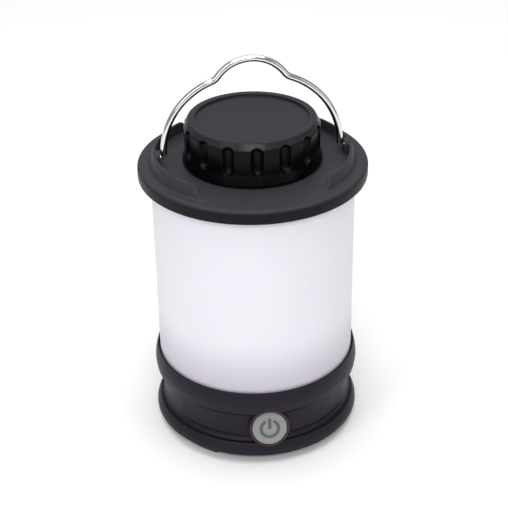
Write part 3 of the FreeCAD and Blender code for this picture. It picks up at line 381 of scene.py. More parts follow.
@dataclass
class Solid:
    """Points and faces of a closed shell, in millimetres."""

    points: np.ndarray
    faces: list[tuple[int, ...]] = field(default_factory=list)

    def moved(self, matrix: Matrix) -> "Solid":
        """A copy moved by a matrix."""
        turned = np.array([matrix @ Vector(point) for point in self.points])
        return Solid(turned, list(self.faces))

    def plus(self, other: "Solid") -> "Solid":
        """Both shells as one piece."""
        shift = len(self.points)
        faces = self.faces + [tuple(corner + shift for corner in face) for face in other.faces]
        return Solid(np.vstack([self.points, other.points]), faces)

    @staticmethod
    def of(obj: bpy.types.Object) -> "Solid":
        """The shell of an object, which is deleted."""
        points = np.array([vertex.co for vertex in obj.data.vertices]) / MM
        faces = [tuple(face.vertices) for face in obj.data.polygons]
        bpy.data.objects.remove(obj)
        return Solid(points, faces)

    def to_object(self, name: str, finish: Finish, sharp_deg: float = 34.0) -> bpy.types.Object:
        """Make the Blender object, with its doubles merged and its faces outward.

        Args:
            name: the piece's name.
            finish: its material.
            sharp_deg: edges that turn more than this stay sharp.

        Returns:
            The object, at the origin.
        """
        mesh = bpy.data.meshes.new(name)
        mesh.from_pydata((self.points * MM).tolist(), [], self.faces)
        work = bmesh.new()
        work.from_mesh(mesh)
        bmesh.ops.remove_doubles(work, verts=work.verts, dist=1e-7)
        bmesh.ops.dissolve_degenerate(work, edges=work.edges, dist=1e-7)
        bmesh.ops.recalc_face_normals(work, faces=work.faces)
        work.to_mesh(mesh)
        work.free()
        mesh.shade_smooth()
        mesh.set_sharp_from_angle(angle=math.radians(sharp_deg))
        obj = bpy.data.objects.new(name, mesh)
        bpy.context.scene.collection.objects.link(obj)
        mesh.materials.append(finish.build())
        return obj


def grid_faces(columns: int, rows: int, around: bool) -> list[tuple[int, ...]]:
    """Quads of a grid whose rows close on themselves, and whose columns may too."""
    faces = []
    for column in range(columns if around else columns - 1):
        other = (column + 1) % columns
        for row in range(rows):
            upper = (row + 1) % rows
            faces.append((column * rows + row, other * rows + row, other * rows + upper, column * rows + upper))
    return faces


def turned(outline: Outline, angles: np.ndarray | int = 256, whole: bool = True) -> Solid:
    """Turn a closed (radius, height) outline about Z.

    Args:
        outline: the closed section.
        angles: directions in radians, or how many even ones.
        whole: whether the last direction joins the first; if not, both ends are capped.

    Returns:
        The shell.
    """
    if isinstance(angles, int):
        angles = np.linspace(0, 2 * math.pi, angles, endpoint=False)
    section = np.array(outline)
    radius, height = section[:, 0], section[:, 1]
    points = np.concatenate([
        np.stack([radius * math.cos(a), radius * math.sin(a), height], axis=1) for a in angles])
    faces = grid_faces(len(angles), len(section), whole)
    if not whole:
        last = (len(angles) - 1) * len(section)
        faces.append(tuple(range(len(section))))
        faces.append(tuple(last + row for row in reversed(range(len(section)))))
    return Solid(points, faces)


def extruded(outline: Outline, low: float, high: float) -> Solid:
    """Prism from a closed (x, y) outline between two heights."""
    count = len(outline)
    points = np.array([(x, y, z) for z in (low, high) for x, y in outline])
    faces = [(i, (i + 1) % count, count + (i + 1) % count, count + i) for i in range(count)]
    faces += [tuple(reversed(range(count))), tuple(range(count, 2 * count))]
    return Solid(points, faces)


def eased(value: np.ndarray, width: float) -> np.ndarray:
    """Smooth step from zero to one over a width."""
    share = np.clip(value / width, 0, 1)
    return share * share * (3 - 2 * share)


def softened(obj: bpy.types.Object, width_mm: float, angle_deg: float = 40.0) -> bpy.types.Object:
    """Round a piece's sharp edges and keep the result as its mesh."""
    bevel = obj.modifiers.new("edge", "BEVEL")
    bevel.width = width_mm * MM
    bevel.segments = 3
    bevel.limit_method = "ANGLE"
    bevel.angle_limit = math.radians(angle_deg)
    bevel.harden_normals = False
    return baked(obj)


def baked(obj: bpy.types.Object) -> bpy.types.Object:
    """Keep what an object's modifiers make as a plain mesh, under the same name."""
    depsgraph = bpy.context.evaluated_depsgraph_get()
    mesh = bpy.data.meshes.new_from_object(obj.evaluated_get(depsgraph))
    name = obj.name
    bpy.data.objects.remove(obj)
    piece = bpy.data.objects.new(name, mesh)
    mesh.name = name
    bpy.context.scene.collection.objects.link(piece)
    return piece


def carved(obj: bpy.types.Object, tool: bpy.types.Object) -> bpy.types.Object:
    """Cut a tool's shape out of a piece.

    Args:
        obj: the piece that is cut.
        tool: the closed shape that is taken away; it is deleted.

    Returns:
        The cut piece, with its mesh baked.
    """
    cut = obj.modifiers.new("cut", "BOOLEAN")
    cut.object = tool
    cut.solver = "MANIFOLD"
    done = baked(obj)
    bpy.data.objects.remove(tool)
    return done


def settle(obj: bpy.types.Object, body: Body, slot: str, *nodes: str) -> None:
    """Ride a piece on its body and hide the CAD nodes it stands for.

    Args:
        obj: the piece.
        body: the body it moves with.
        slot: not used.
        nodes: the CAD nodes it replaces.
    """
    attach(obj, body.value)
    if nodes:
        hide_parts(*nodes)
    LOG.info("%s: %d faces on %s", obj.name, len(obj.data.polygons), body.value)


# ---------------------------------------------------------------- geometry node tools


class NodeRecipe:
    """A Geometry Nodes tree with named inputs, run once on an object and baked."""

    def __init__(self, name: str) -> None:
        """Start a tree that takes and gives a geometry."""
        self.tree = bpy.data.node_groups.new(name, "GeometryNodeTree")
        self.tree.interface.new_socket("Geometry", in_out="INPUT", socket_type="NodeSocketGeometry")
        self.tree.interface.new_socket("Geometry", in_out="OUTPUT", socket_type="NodeSocketGeometry")
        self.values: dict[str, object] = {}
        self.source: bpy.types.Node | None = None

    def size(self, name: str, value: object, kind: str = "NodeSocketFloat") -> None:
        """Declare a named input and its value."""
        socket = self.tree.interface.new_socket(name, in_out="INPUT", socket_type=kind)
        self.values[socket.identifier] = value

    def start(self) -> bpy.types.Node:
        """Add the group input, after every size is declared."""
        self.source = add_node(self.tree, "NodeGroupInput")
        return self.source

    def math(self, operation: str, *values: object) -> bpy.types.NodeSocket:
        """Add a math node and give its result."""
        return add_node(self.tree, "ShaderNodeMath", dict(enumerate(values)), operation=operation).outputs[0]

    def end(self, geometry: bpy.types.NodeSocket, finish: Finish) -> None:
        """Realize the instances, dress the result and give it out."""
        real = add_node(self.tree, "GeometryNodeRealizeInstances", {"Geometry": geometry})
        dressed = add_node(self.tree, "GeometryNodeSetMaterial", {
            "Geometry": real.outputs[0], "Material": finish.build()})
        add_node(self.tree, "NodeGroupOutput", {0: dressed.outputs[0]})

    def run(self, obj: bpy.types.Object, sharp_deg: float = 34.0) -> bpy.types.Object:
        """Set the inputs by identifier, run the tree on an object and keep the mesh."""
        modifier = obj.modifiers.new(self.tree.name, "NODES")
        modifier.node_group = self.tree
        for identifier, value in self.values.items():
            modifier[identifier] = value
        piece = baked(obj)
        piece.data.shade_smooth()
        piece.data.set_sharp_from_angle(angle=math.radians(sharp_deg))
        return piece


# ---------------------------------------------------------------- sub-assemblies


@dataclass
class TopHousing:
    """Flanged ring with its deck and neck, two crescent walls and the bail's lugs."""

    ring_round: float = 1.5
    lip_round: float = 0.8
    deck_thick: float = 2.5
    ring_depth: float = 5.6
    shade_radius: float = 40.3
    bay_radius: float = 20.29
    neck_radius: float = 22.09
    wall_inner: float = 37.8
    wall_top: float = 0.9
    wall_foot: float = 2.8
    wall_height: float = 4.8
    wall_full_deg: float = 48.0
    wall_end_deg: float = 57.5
    lug_face: float = 36.1
    lug_half: float = 2.65
    pivot_rise: float = 3.2
    seal_depth: float = 1.0
    seal_low: float = 1.6
    seal_width: float = 1.5
    thread_pitch: float = 3.0
    thread_depth: float = 0.7
    key_half: float = 1.5
    key_depth: float = 0.9

    def deck(self) -> float:
        """Height of the deck: the neck ring stands on it."""
        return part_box("bay_neck")[0][2] / MM

    def ring(self) -> Solid:
        """Ring and deck as one turned section."""
        deck = self.deck()
        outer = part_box("top_housing")[1][0] / MM
        return turned(rounded([
            (self.bay_radius, deck - self.deck_thick, 0),
            (self.shade_radius + 0.35, deck - self.deck_thick, 0),
            (self.shade_radius + 0.35, deck - self.ring_depth, 0.3),
            (outer, deck - self.ring_depth, self.lip_round),
            (outer, deck, self.ring_round),
            (self.bay_radius, deck, 0),
        ]), 360)

    def neck(self) -> None:
        """Neck ring with the seal's groove, a thread above it and the contact plate's key slot."""
        low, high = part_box("bay_neck")
        foot, top, seal = low[2] / MM, high[2] / MM, self.neck_radius - self.seal_depth
        crests = [(self.neck_radius - (0.0 if index % 2 == 0 else self.thread_depth),
                   foot + 4.6 + self.thread_pitch * index / 2, 0.25) for index in range(4)]
        outline = rounded([
            (self.bay_radius, foot, 0), (self.neck_radius, foot, 0),
            (self.neck_radius, foot + self.seal_low, 0.1), (seal, foot + self.seal_low, 0.1),
            (seal, foot + self.seal_low + self.seal_width, 0.1),
            (self.neck_radius, foot + self.seal_low + self.seal_width, 0.1),
            *crests, (self.neck_radius, top, 0.4), (self.bay_radius, top, 0.3)])
        half = math.asin(self.key_half / self.bay_radius)
        key = self.bay_radius + self.key_depth
        even = np.linspace(half, 2 * math.pi - half, 240)
        gate = np.array([-half * 0.999, 0.0, half * 0.999])
        ring = turned(refined(outline, 1.5), np.concatenate([gate, even[1:-1]]) + math.pi / 2)
        points = ring.points
        near = (np.abs(points[:, 0]) < self.key_half) & (points[:, 1] > 0)
        radius = np.hypot(points[:, 0], points[:, 1])
        sunk = np.where(near & (radius < key), key / np.maximum(radius, 1e-6), 1.0)
        points[:, 0] *= sunk
        points[:, 1] *= sunk
        piece = ring.to_object("bay_neck_ring", HOUSING)
        settle(piece, Body.LAMP, "housing_black", "bay_neck")

    def crescent(self, heading: float) -> Solid:
        """One crescent wall: upright inside, sloped outside, ramped down to the deck at both ends."""
        deck = self.deck()
        top = deck + self.wall_height
        foot = self.wall_inner + self.wall_foot
        section = refined(rounded([
            (self.wall_inner - 0.6, deck - 0.4, 0),
            (self.wall_inner - 0.6, deck - 0.02, 0),
            (self.wall_inner, deck, 0.5),
            (self.wall_inner, top, 0.3),
            (self.wall_inner + self.wall_top, top, 0.35),
            (foot, deck + 0.1, 1.6),
            (foot + 1.2, deck - 0.02, 0),
            (foot + 1.2, deck - 0.4, 0),
        ]), 0.35)
        end = math.radians(self.wall_end_deg + 2)
        angles = np.linspace(-end, end, 241)
        shell = turned(section, angles + heading, whole=False)
        points = shell.points
        across = np.abs(np.sin(np.arctan2(points[:, 1], points[:, 0]) - heading)) * self.wall_inner
        full = self.wall_inner * math.sin(math.radians(self.wall_full_deg))
        gone = self.wall_inner * math.sin(math.radians(self.wall_end_deg))
        fall = np.clip((across - full + 0.6) / (gone - full + 0.6), 0, 1.2)
        ramp = top + 0.02 + (deck - 0.07 - top) * (fall + 0.12 * np.sin(2 * math.pi * np.minimum(fall, 1.0)) * -1.0)
        blend = 0.5
        low, high = points[:, 2], np.maximum(ramp, deck - 0.3)
        share = np.clip(0.5 + 0.5 * (high - low) / blend, 0, 1)
        points[:, 2] = high * (1 - share) + low * share - blend * share * (1 - share)
        return shell

    def lug(self, side: int) -> Solid:
        """Round-topped lug that holds one end of the bail."""
        half, rise = self.lug_half, self.pivot_rise
        arch = [(half * math.cos(a), rise + half * math.sin(a)) for a in np.linspace(0, math.pi, 25)]
        block = extruded(arch + [(-half, -0.4), (half, -0.4)], self.lug_face, self.wall_inner + 0.3)
        lay = Matrix(((0, 0, side, 0), (side, 0, 0, 0), (0, 1, 0, self.deck()), (0, 0, 0, 1)))
        return block.moved(lay)

    def build(self) -> None:
        """Make the housing and settle it."""
        shell = self.ring()
        for heading in (0.0, math.pi):
            shell = shell.plus(self.crescent(heading))
        for side in (1, -1):
            shell = shell.plus(self.lug(side))
        piece = softened(shell.to_object("top_housing_shell", HOUSING), 0.35, 60.0)
        settle(piece, Body.LAMP, "housing_black", "top_housing")
        self.neck()


@dataclass
class BatteryCap:
    """Screw cap with a bevelled rim, a shallow round recess and thumb flutes."""

    bevel_height: float = 2.7
    bevel_inset: float = 1.6
    recess_depth: float = 0.95
    recess_rim: float = 2.75
    roof: float = 2.4
    skirt_flare: float = 1.0
    skirt_height: float = 4.4
    bore: float = 22.44
    boss: float = 5.0
    flute_radius: float = 2.3
    flute_out: float = 0.2
    flute_foot: float = 4.2
    flute_head: float = 16.0
    flute_count: int = 15
    flute_turn_deg: float = -93.5
    edge: float = 0.35

    def section(self) -> tuple[Outline, float, float]:
        """Section of the cap before its flutes, with its side radius and lowest height."""
        low, high = (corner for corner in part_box("battery_cap"))
        base, top = low[2] / MM, high[2] / MM
        side = high[0] / MM - self.skirt_flare
        inner = side - self.bevel_inset - self.recess_rim
        floor = top - self.recess_depth
        outline = rounded([
            (0, floor, 0),
            (inner, floor, 0.25),
            (inner, top, 0.25),
            (side - self.bevel_inset, top, 0.4),
            (side, top - self.bevel_height, 0.5),
            (side, base + self.skirt_height, 4.0),
            (side + self.skirt_flare, base + self.skirt_flare, 1.2),
            (side + self.skirt_flare, base, 0.3),
            (self.bore, base, 0.3),
            (self.bore, floor - self.roof, 0.3),
            (self.boss, floor - self.roof, 0.3),
            (self.boss, floor - self.roof - 6.0, 0.3),
            (0, floor - self.roof - 6.0, 0),
        ], pieces=5)
        return outline, side, base

    def flutes(self, side: float, base: float) -> NodeRecipe:
        """Press the flutes into the side: each is an upright round-ended groove."""
        recipe = NodeRecipe("thumb_flutes")
        recipe.size("Count", float(self.flute_count))
        recipe.size("Flute Radius", self.flute_radius * MM)
        recipe.size("Axis Radius", (side + self.flute_out) * MM)
        recipe.size("Low", (base + self.flute_foot + self.flute_radius) * MM)
        recipe.size("High", (base + self.flute_head - self.flute_radius) * MM)
        recipe.size("First", math.radians(self.flute_turn_deg))
        recipe.size("Edge", self.edge * MM)
        recipe.size("Wall From", (self.bore + 0.9) * MM)
        given = recipe.start().outputs
        math_node = recipe.math
        where = add_node(recipe.tree, "GeometryNodeInputPosition")
        axes = add_node(recipe.tree, "ShaderNodeSeparateXYZ", {0: where.outputs[0]}).outputs
        reach = math_node("SQRT", math_node("ADD", math_node("MULTIPLY", axes[0], axes[0]),
                                            math_node("MULTIPLY", axes[1], axes[1])))
        pitch = math_node("DIVIDE", 2 * math.pi, given["Count"])
        half_pitch = math_node("MULTIPLY", pitch, 0.5)
        turn = math_node("SUBTRACT", math_node("ARCTAN2", axes[1], axes[0]), given["First"])
        off = math_node("WRAP", turn, half_pitch, math_node("MULTIPLY", half_pitch, -1.0))
        level = math_node("MINIMUM", math_node("MAXIMUM", axes[2], given["Low"]), given["High"])
        over = math_node("SUBTRACT", axes[2], level)
        wide = math_node("SUBTRACT", math_node("MULTIPLY", given["Flute Radius"], given["Flute Radius"]),
                         math_node("MULTIPLY", over, over))
        aside = math_node("MULTIPLY", given["Axis Radius"], math_node("SINE", off))
        room = math_node("SUBTRACT", wide, math_node("MULTIPLY", aside, aside))
        deep = math_node("SQRT", math_node("MAXIMUM", room, 0.0))
        near = math_node("SUBTRACT", math_node("MULTIPLY", given["Axis Radius"], math_node("COSINE", off)), deep)
        miss = math_node("MULTIPLY", math_node("LESS_THAN", room, 0.0), 0.01)
        pressed = math_node("SMOOTH_MIN", reach, math_node("ADD", near, miss), given["Edge"])
        share = math_node("DIVIDE", pressed, math_node("MAXIMUM", reach, 1e-6))
        scale = add_node(recipe.tree, "ShaderNodeCombineXYZ", {0: share, 1: share, 2: 1.0})
        moved = add_node(recipe.tree, "ShaderNodeVectorMath", {0: where.outputs[0], 1: scale.outputs[0]},
                         operation="MULTIPLY")
        wall = math_node("GREATER_THAN", reach, given["Wall From"])
        shaped = add_node(recipe.tree, "GeometryNodeSetPosition", {
            "Geometry": given["Geometry"], "Selection": wall, "Position": moved.outputs[0]})
        recipe.end(shaped.outputs[0], CAP)
        return recipe

    def build(self) -> None:
        """Make the cap and settle it."""
        outline, side, base = self.section()
        outline = refined(outline, 0.45, beyond=self.bore + 0.9)
        blank = turned(outline, self.flute_count * 40).to_object("battery_cap_shell", CAP)
        piece = self.flutes(side, base).run(blank)
        settle(piece, Body.CAP, "cap_black", "battery_cap")


@dataclass
class Bail:
    """Wire bail: two side arcs, a kink each side and a raised bump."""

    leg: float = 34.55
    bend: float = 1.5
    side: float = 30.35
    bump: float = 15.75
    bump_rise: float = 22.5
    kink: float = 4.7

    def half_path(self) -> list[Vector]:
        """Points of one half, from its end in the lug up to the middle of the bump."""
        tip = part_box("bail")[1][0] / MM
        side_centre = Vector((self.leg - self.side, self.bend))
        bump_centre = Vector((0.0, self.bump_rise))
        between = bump_centre - side_centre
        far, near = self.side + self.kink, self.bump + self.kink
        along = (far * far - near * near + between.length_squared) / (2 * between.length)
        across = math.sqrt(far * far - along * along)
        forward = between.normalized()
        kink_centre = side_centre + forward * along + Vector((forward.y, -forward.x)) * across
        side_end = side_centre + (kink_centre - side_centre).normalized() * self.side
        bump_start = bump_centre + (kink_centre - bump_centre).normalized() * self.bump
        stretches = [
            (Vector((self.leg + self.bend, self.bend)), Vector((self.leg + self.bend, 0)), Vector((self.leg, self.bend))),
            (side_centre, Vector((self.leg, self.bend)), side_end),
            (kink_centre, side_end, bump_start),
            (bump_centre, bump_start, bump_centre + Vector((0, self.bump))),
        ]
        points = [Vector((tip, 0.0))]
        for centre, first, last in stretches:
            sweep = (first - centre).angle_signed(last - centre)
            steps = max(4, math.ceil(abs(sweep) / math.radians(3)))
            for step in range(steps if centre is not bump_centre else steps + 1):
                points.append(centre + Matrix.Rotation(-sweep * step / steps, 2) @ (first - centre))
        return points

    def build(self) -> None:
        """Sweep the wire's round section along its path."""
        low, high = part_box("bail")
        radius = (high[1] - low[1]) / 2
        pivot = low[2] + radius
        half = self.half_path()
        whole = half + [Vector((-point.x, point.y)) for point in reversed(half[:-1])]
        curve = bpy.data.curves.new("bail_path", "CURVE")
        curve.dimensions = "3D"
        spline = curve.splines.new("POLY")
        spline.points.add(len(whole) - 1)
        for knot, point in zip(spline.points, whole):
            knot.co = (point.x * MM, 0, point.y * MM + pivot, 1)
        path = bpy.data.objects.new("bail_wire", curve)
        bpy.context.scene.collection.objects.link(path)
        recipe = NodeRecipe("swept_wire")
        recipe.size("Radius", radius)
        given = recipe.start().outputs
        spot = add_node(recipe.tree, "GeometryNodeSplineParameter")
        route = add_node(recipe.tree, "GeometryNodeStoreNamedAttribute", {
            "Geometry": given["Geometry"], "Name": "along", "Value": spot.outputs["Length"]},
            data_type="FLOAT", domain="POINT")
        circle = add_node(recipe.tree, "GeometryNodeCurvePrimitiveCircle", {
            "Resolution": 32, "Radius": given["Radius"]})
        ring = add_node(recipe.tree, "GeometryNodeStoreNamedAttribute", {
            "Geometry": circle.outputs[0], "Name": "around", "Value": spot.outputs["Factor"]},
            data_type="FLOAT", domain="POINT")
        swept = add_node(recipe.tree, "GeometryNodeCurveToMesh", {
            "Curve": route.outputs[0], "Profile Curve": ring.outputs[0], "Fill Caps": True})
        recipe.end(swept.outputs[0], WIRE)
        piece = recipe.run(path)
        settle(piece, Body.BAIL, "bail_steel", "bail")


@dataclass
class Shade:
    """Opal tube with softly broken ends."""

    wall: float = 2.0

    def build(self) -> None:
        """Make the tube and settle it."""
        low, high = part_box("shade")
        outer, foot, top = high[0] / MM, low[2] / MM, high[2] / MM
        outline = rounded([
            (outer - self.wall, foot, 0.4), (outer, foot, 0.4), (outer, top, 0.4), (outer - self.wall, top, 0.4)])
        piece = turned(refined(outline, 6.0), 256).to_object("shade_tube", SHADE)
        settle(piece, Body.LAMP, "shade_frost", "shade")


@dataclass
class ButtonFrame:
    """Where the button's face is, and the way it looks."""

    out: float = 41.4
    height: float = 16.9
    tilt_deg: float = 12.0

    def matrix(self) -> Matrix:
        """From the button's own frame, +Z outwards, to the lantern's frame."""
        turn = Matrix.Rotation(math.radians(90 - self.tilt_deg), 4, "X")
        return Matrix.Translation((0, -self.out, self.height)) @ turn


@dataclass
class BaseHousing:
    """Collar, waist with its two recessed panels, and the boss round the button."""

    shade_radius: float = 40.3
    bore: float = 36.8
    cover_top: float = 9.5
    collar_top: float = 34.3
    panel_depth: float = 0.6
    groove_depth: float = 1.1
    panel_half_deg: float = 62.0
    panel_low: float = 11.6
    panel_high: float = 23.9
    boss_radius: float = 8.5
    boss_proud: float = 0.5
    flap_low: float = 11.7
    flap_high: float = 22.2
    flap_half_deg: float = 13.0
    flap_floor: float = 38.3
    port_half_width: float = 5.0
    port_height: float = 3.9
    port_level: float = 17.8
    port_round: float = 1.2
    button: ButtonFrame = field(default_factory=ButtonFrame)

    def section(self) -> Outline:
        """Section of the shell: rounded collar, ledge, waist and flared foot."""
        r = self.shade_radius
        waist = [(r - 1.25 + 0.0105 * (z - 15.2) ** 2, z, 0) for z in np.linspace(22.6, 14.0, 8)]
        flare = [(r + 0.5 - 1.75 * math.sin(a), 10.3 + 4.2 * (1 - math.cos(a)) / 1.0, 0)
                 for a in np.linspace(math.radians(72), 0, 8)]
        return rounded([
            (self.bore, self.cover_top, 0),
            (self.bore, 27.0, 0.5),
            (10.0, 27.0, 0.2),
            (10.0, 29.5, 0.2),
            (r + 0.35, 29.5, 0.3),
            (r + 0.35, self.collar_top, 0.25),
            (r + 1.05, self.collar_top, 0.35),
            (r + 1.9, 31.0, 3.0),
            (r + 2.2, 28.2, 3.0),
            (r + 1.75, 24.5, 1.1),
            (r - 0.35, 24.0, 0.25),
            *waist,
            *flare,
            (r + 0.5, 10.25, 0.3),
            (r - 0.9, 10.2, 0.15),
            (r - 0.9, self.cover_top, 0),
        ])

    def fine_section(self) -> Outline:
        """The section with enough points on the wall that the panels, the pocket and the boss are sunk in."""
        return refined(self.section(), 0.35, beyond=self.bore + 0.9, below=26.5)

    def headings(self) -> np.ndarray:
        """Directions round the shell, closer together at the button and at the port."""
        near = math.radians(16)
        fine = np.linspace(-near, near, 150, endpoint=False)
        wide = np.linspace(near, math.pi - near, 150, endpoint=False)
        first = np.concatenate([fine, wide, fine + math.pi, wide + math.pi])
        return first - math.pi / 2

    def shaped(self, shell: Solid) -> Solid:
        """Sink the two panels, the flap's pocket and the seat of the boss into the shell."""
        points = shell.points
        radius = np.hypot(points[:, 0], points[:, 1])
        heading = np.arctan2(points[:, 1], points[:, 0])
        height = points[:, 2]
        outside = (radius > self.bore + 1.0) & (height < 24.4)
        off = np.abs(np.arcsin(np.clip(np.cos(heading), -1, 1)))
        end_gap = (math.radians(self.panel_half_deg) - off) * radius
        rim = np.minimum(height - self.panel_low, self.panel_high - height)
        sunk = radius - self.panel_depth * eased(end_gap, 9.0) * eased(rim, 0.2)
        line = np.exp(-((self.panel_high - 1.5 - height) / 0.45) ** 2)
        sunk -= self.groove_depth * line * eased(end_gap + 1.0, 6.0)
        back = np.abs(heading - math.pi / 2)
        flap_gap = (math.radians(self.flap_half_deg) - back) * radius
        flap_edge = np.minimum(flap_gap, np.minimum(height - self.flap_low, self.flap_high - height))
        pocket = radius + (self.flap_floor - radius) * eased(flap_edge, 0.25)
        sunk = np.minimum(sunk, pocket)
        share = np.where(outside, sunk / np.maximum(radius, 1e-6), 1.0)
        points[:, 0] *= share
        points[:, 1] *= share
        frame_in = np.array(self.button.matrix().inverted())
        local = points @ frame_in[:3, :3].T + frame_in[:3, 3]
        inside = np.hypot(local[:, 0], local[:, 1]) < self.boss_radius + 0.35
        proud = local[:, 2] + self.boss_proud + 0.4
        push = np.where(inside & (proud > 0) & (points[:, 1] < 0), proud, 0.0)
        points -= push[:, None] * np.array(self.button.matrix())[:3, 2]
        return shell

    def port(self) -> Solid:
        """The opening through the back wall that the charging socket is seen through."""
        half, low, high = self.port_half_width, self.port_level, self.port_height / 2
        corners = rounded([(x, low + z, self.port_round) for x, z in (
            (-half, -high), (half, -high), (half, high), (-half, high))])
        stand = Matrix(((1, 0, 0, 0), (0, 0, -1, 0), (0, 1, 0, 0), (0, 0, 0, 1)))
        return extruded(corners, -(self.flap_floor + 1.0), -(self.bore - 1.0)).moved(stand)

    def boss(self) -> Solid:
        """Round boss with a softly broken rim, bored for the button."""
        face = -self.boss_proud
        ring = turned(rounded([
            (7.25, face, 0.2), (self.boss_radius, face, 0.55), (self.boss_radius, face - 6.0, 0), (7.25, face - 6.0, 0),
        ]), 128)
        return ring.moved(self.button.matrix())

    def build(self) -> None:
        """Make the base and settle it."""
        blank = self.shaped(turned(self.fine_section(), self.headings())).to_object("base_blank", BASE)
        shell = Solid.of(carved(blank, self.port().to_object("port_tool", BASE)))
        piece = shell.plus(self.boss()).to_object("base_housing_shell", BASE, 42.0)
        settle(piece, Body.LAMP, "base_black", "base_housing")


@dataclass
class BottomCover:
    """Foot ring with its floor, three rubber feet and the four screws that hold it on."""

    shade_radius: float = 40.3
    floor_low: float = 1.3
    belly: float = 4.4
    top: float = 9.5
    undercut: float = 3.8
    foot_half_deg: float = 27.0
    foot_headings_deg: tuple[float, ...] = (-30.0, -150.0, 90.0)
    screw_circle: float = 28.0
    screw_headings_deg: tuple[float, ...] = (60.0, 120.0, 240.0, 300.0)
    head_radius: float = 2.3
    head_height: float = 0.9
    sink_gap: float = 0.05

    def screw_places(self) -> list[Vector]:
        """Middle of each screw head's face, in millimetres."""
        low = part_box("cover_screws")[0][2] / MM
        return [Vector((self.screw_circle * math.cos(math.radians(a)),
                        self.screw_circle * math.sin(math.radians(a)), low)) for a in self.screw_headings_deg]

    def ring(self) -> None:
        """Foot ring and floor."""
        r = self.shade_radius
        outline = rounded([
            (6.06, self.floor_low, 0),
            (r - self.undercut, self.floor_low, 2.0),
            (r + 2.5, self.belly, 0.9),
            (r + 2.3, 6.6, 4.0),
            (r + 0.9, self.top, 1.0),
            (r - 3.8, self.top, 0.2),
            (r - 3.8, self.top + 2.5, 0.3),
            (r - 5.6, self.top + 2.5, 0.3),
            (r - 5.6, self.floor_low + 2.5, 0.3),
            (6.06, self.floor_low + 2.5, 0),
        ])
        shell = turned(refined(outline, 2.5), 320).to_object("bottom_cover_shell", BASE)
        radius = self.head_radius + self.sink_gap
        sink = turned([(0, -1.0), (radius, -1.0), (radius, self.head_height), (0, self.head_height)], 48)
        first, *others = (sink.moved(Matrix.Translation(place)) for place in self.screw_places())
        for other in others:
            first = first.plus(other)
        piece = carved(shell, first.to_object("screw_sinks", BASE))
        piece.data.shade_smooth()
        piece.data.set_sharp_from_angle(angle=math.radians(34))
        settle(piece, Body.LAMP, "base_black", "bottom_cover")

    def feet(self) -> None:
        """Rubber feet that fill the undercut, each a short arc with rounded ends."""
        r = self.shade_radius
        rise = self.belly - self.floor_low
        share = (self.undercut + 1.9) / (self.undercut + 2.5)
        half = math.radians(self.foot_half_deg)
        for name, heading in zip(("right", "left", "rear"), self.foot_headings_deg):
            outline = rounded([
                (r - 9.7, 0.02, 0.4), (r - 1.7, 0.0, 0.9),
                (r + 1.9, self.floor_low + rise * share - 0.05, 0.4),
                (r - self.undercut, self.floor_low, 0), (r - 9.7, self.floor_low, 0),
            ])
            angles = np.linspace(-half, half, 61) + math.radians(heading)
            pad = turned(outline, angles, whole=False).to_object(f"foot_{name}_pad", RUBBER)
            settle(softened(pad, 0.3, 60.0), Body.LAMP, "foot_rubber", f"foot_{name}")

    def screw_head(self) -> bpy.types.Object:
        """One pan head with a cross recess, looking down."""
        head = turned(rounded([
            (0, 0, 0), (self.head_radius, 0, 0.35), (self.head_radius, self.head_height, 0.1),
            (0, self.head_height, 0)]), 40).to_object("screw_blank", STEEL)
        long, wide = 1.3, 0.275
        arm = [(long, wide), (wide, wide), (wide, long)]
        cross = [(x * a, y * b) for a, b, part in ((1, 1, arm), (-1, 1, arm[::-1]), (-1, -1, arm), (1, -1, arm[::-1]))
                 for x, y in part]
        tool = extruded(cross, -0.55, 0.55).to_object("cross_tool", STEEL)
        return carved(head, tool)

    def screws(self) -> None:
        """Put a head at each screw's place."""
        spots = bpy.data.meshes.new("screw_spots")
        spots.from_pydata([place * MM for place in self.screw_places()], [], [])
        holder = bpy.data.objects.new("cover_screw_heads", spots)
        bpy.context.scene.collection.objects.link(holder)
        head = self.screw_head()
        recipe = NodeRecipe("placed_screws")
        recipe.size("Head", head, "NodeSocketObject")
        recipe.size("Turn", math.radians(25))
        given = recipe.start().outputs
        shape = add_node(recipe.tree, "GeometryNodeObjectInfo", {"Object": given["Head"]})
        index = add_node(recipe.tree, "GeometryNodeInputIndex")
        turn = recipe.math("MULTIPLY", index.outputs[0], given["Turn"])
        angle = add_node(recipe.tree, "ShaderNodeCombineXYZ", {2: turn})
        placed = add_node(recipe.tree, "GeometryNodeInstanceOnPoints", {
            "Points": given["Geometry"], "Instance": shape.outputs["Geometry"], "Rotation": angle.outputs[0]})
        recipe.end(placed.outputs[0], STEEL)
        piece = recipe.run(holder)
        bpy.data.objects.remove(head)
        settle(piece, Body.LAMP, "screw_steel", "cover_screws")

    def insert(self) -> None:
        """Brass tripod insert with its thread."""
        low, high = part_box("tripod_insert")
        foot, top = low[2] / MM, high[2] / MM
        pitch, bore = 1.27, 2.55
        teeth = [(bore + (0.55 if k % 2 else 0.0), top - 0.6 - pitch / 2 * k, 0) for k in range(12)]
        outline = rounded([
            (6.0, foot, 0.2), (6.0, 3.8, 0), (8.0, 3.8, 0.2), (8.0, 5.4, 0.2), (6.0, 5.4, 0), (6.0, top, 0.3),
            (bore + 0.6, top, 0), *teeth, (bore + 0.7, foot, 0.1)])
        piece = turned(outline, 96).to_object("tripod_insert_body", BRASS)
        settle(piece, Body.LAMP, "contact_brass", "tripod_insert")

    def build(self) -> None:
        """Make every piece of the underside."""
        self.ring()
        self.feet()
        self.screws()
        self.insert()


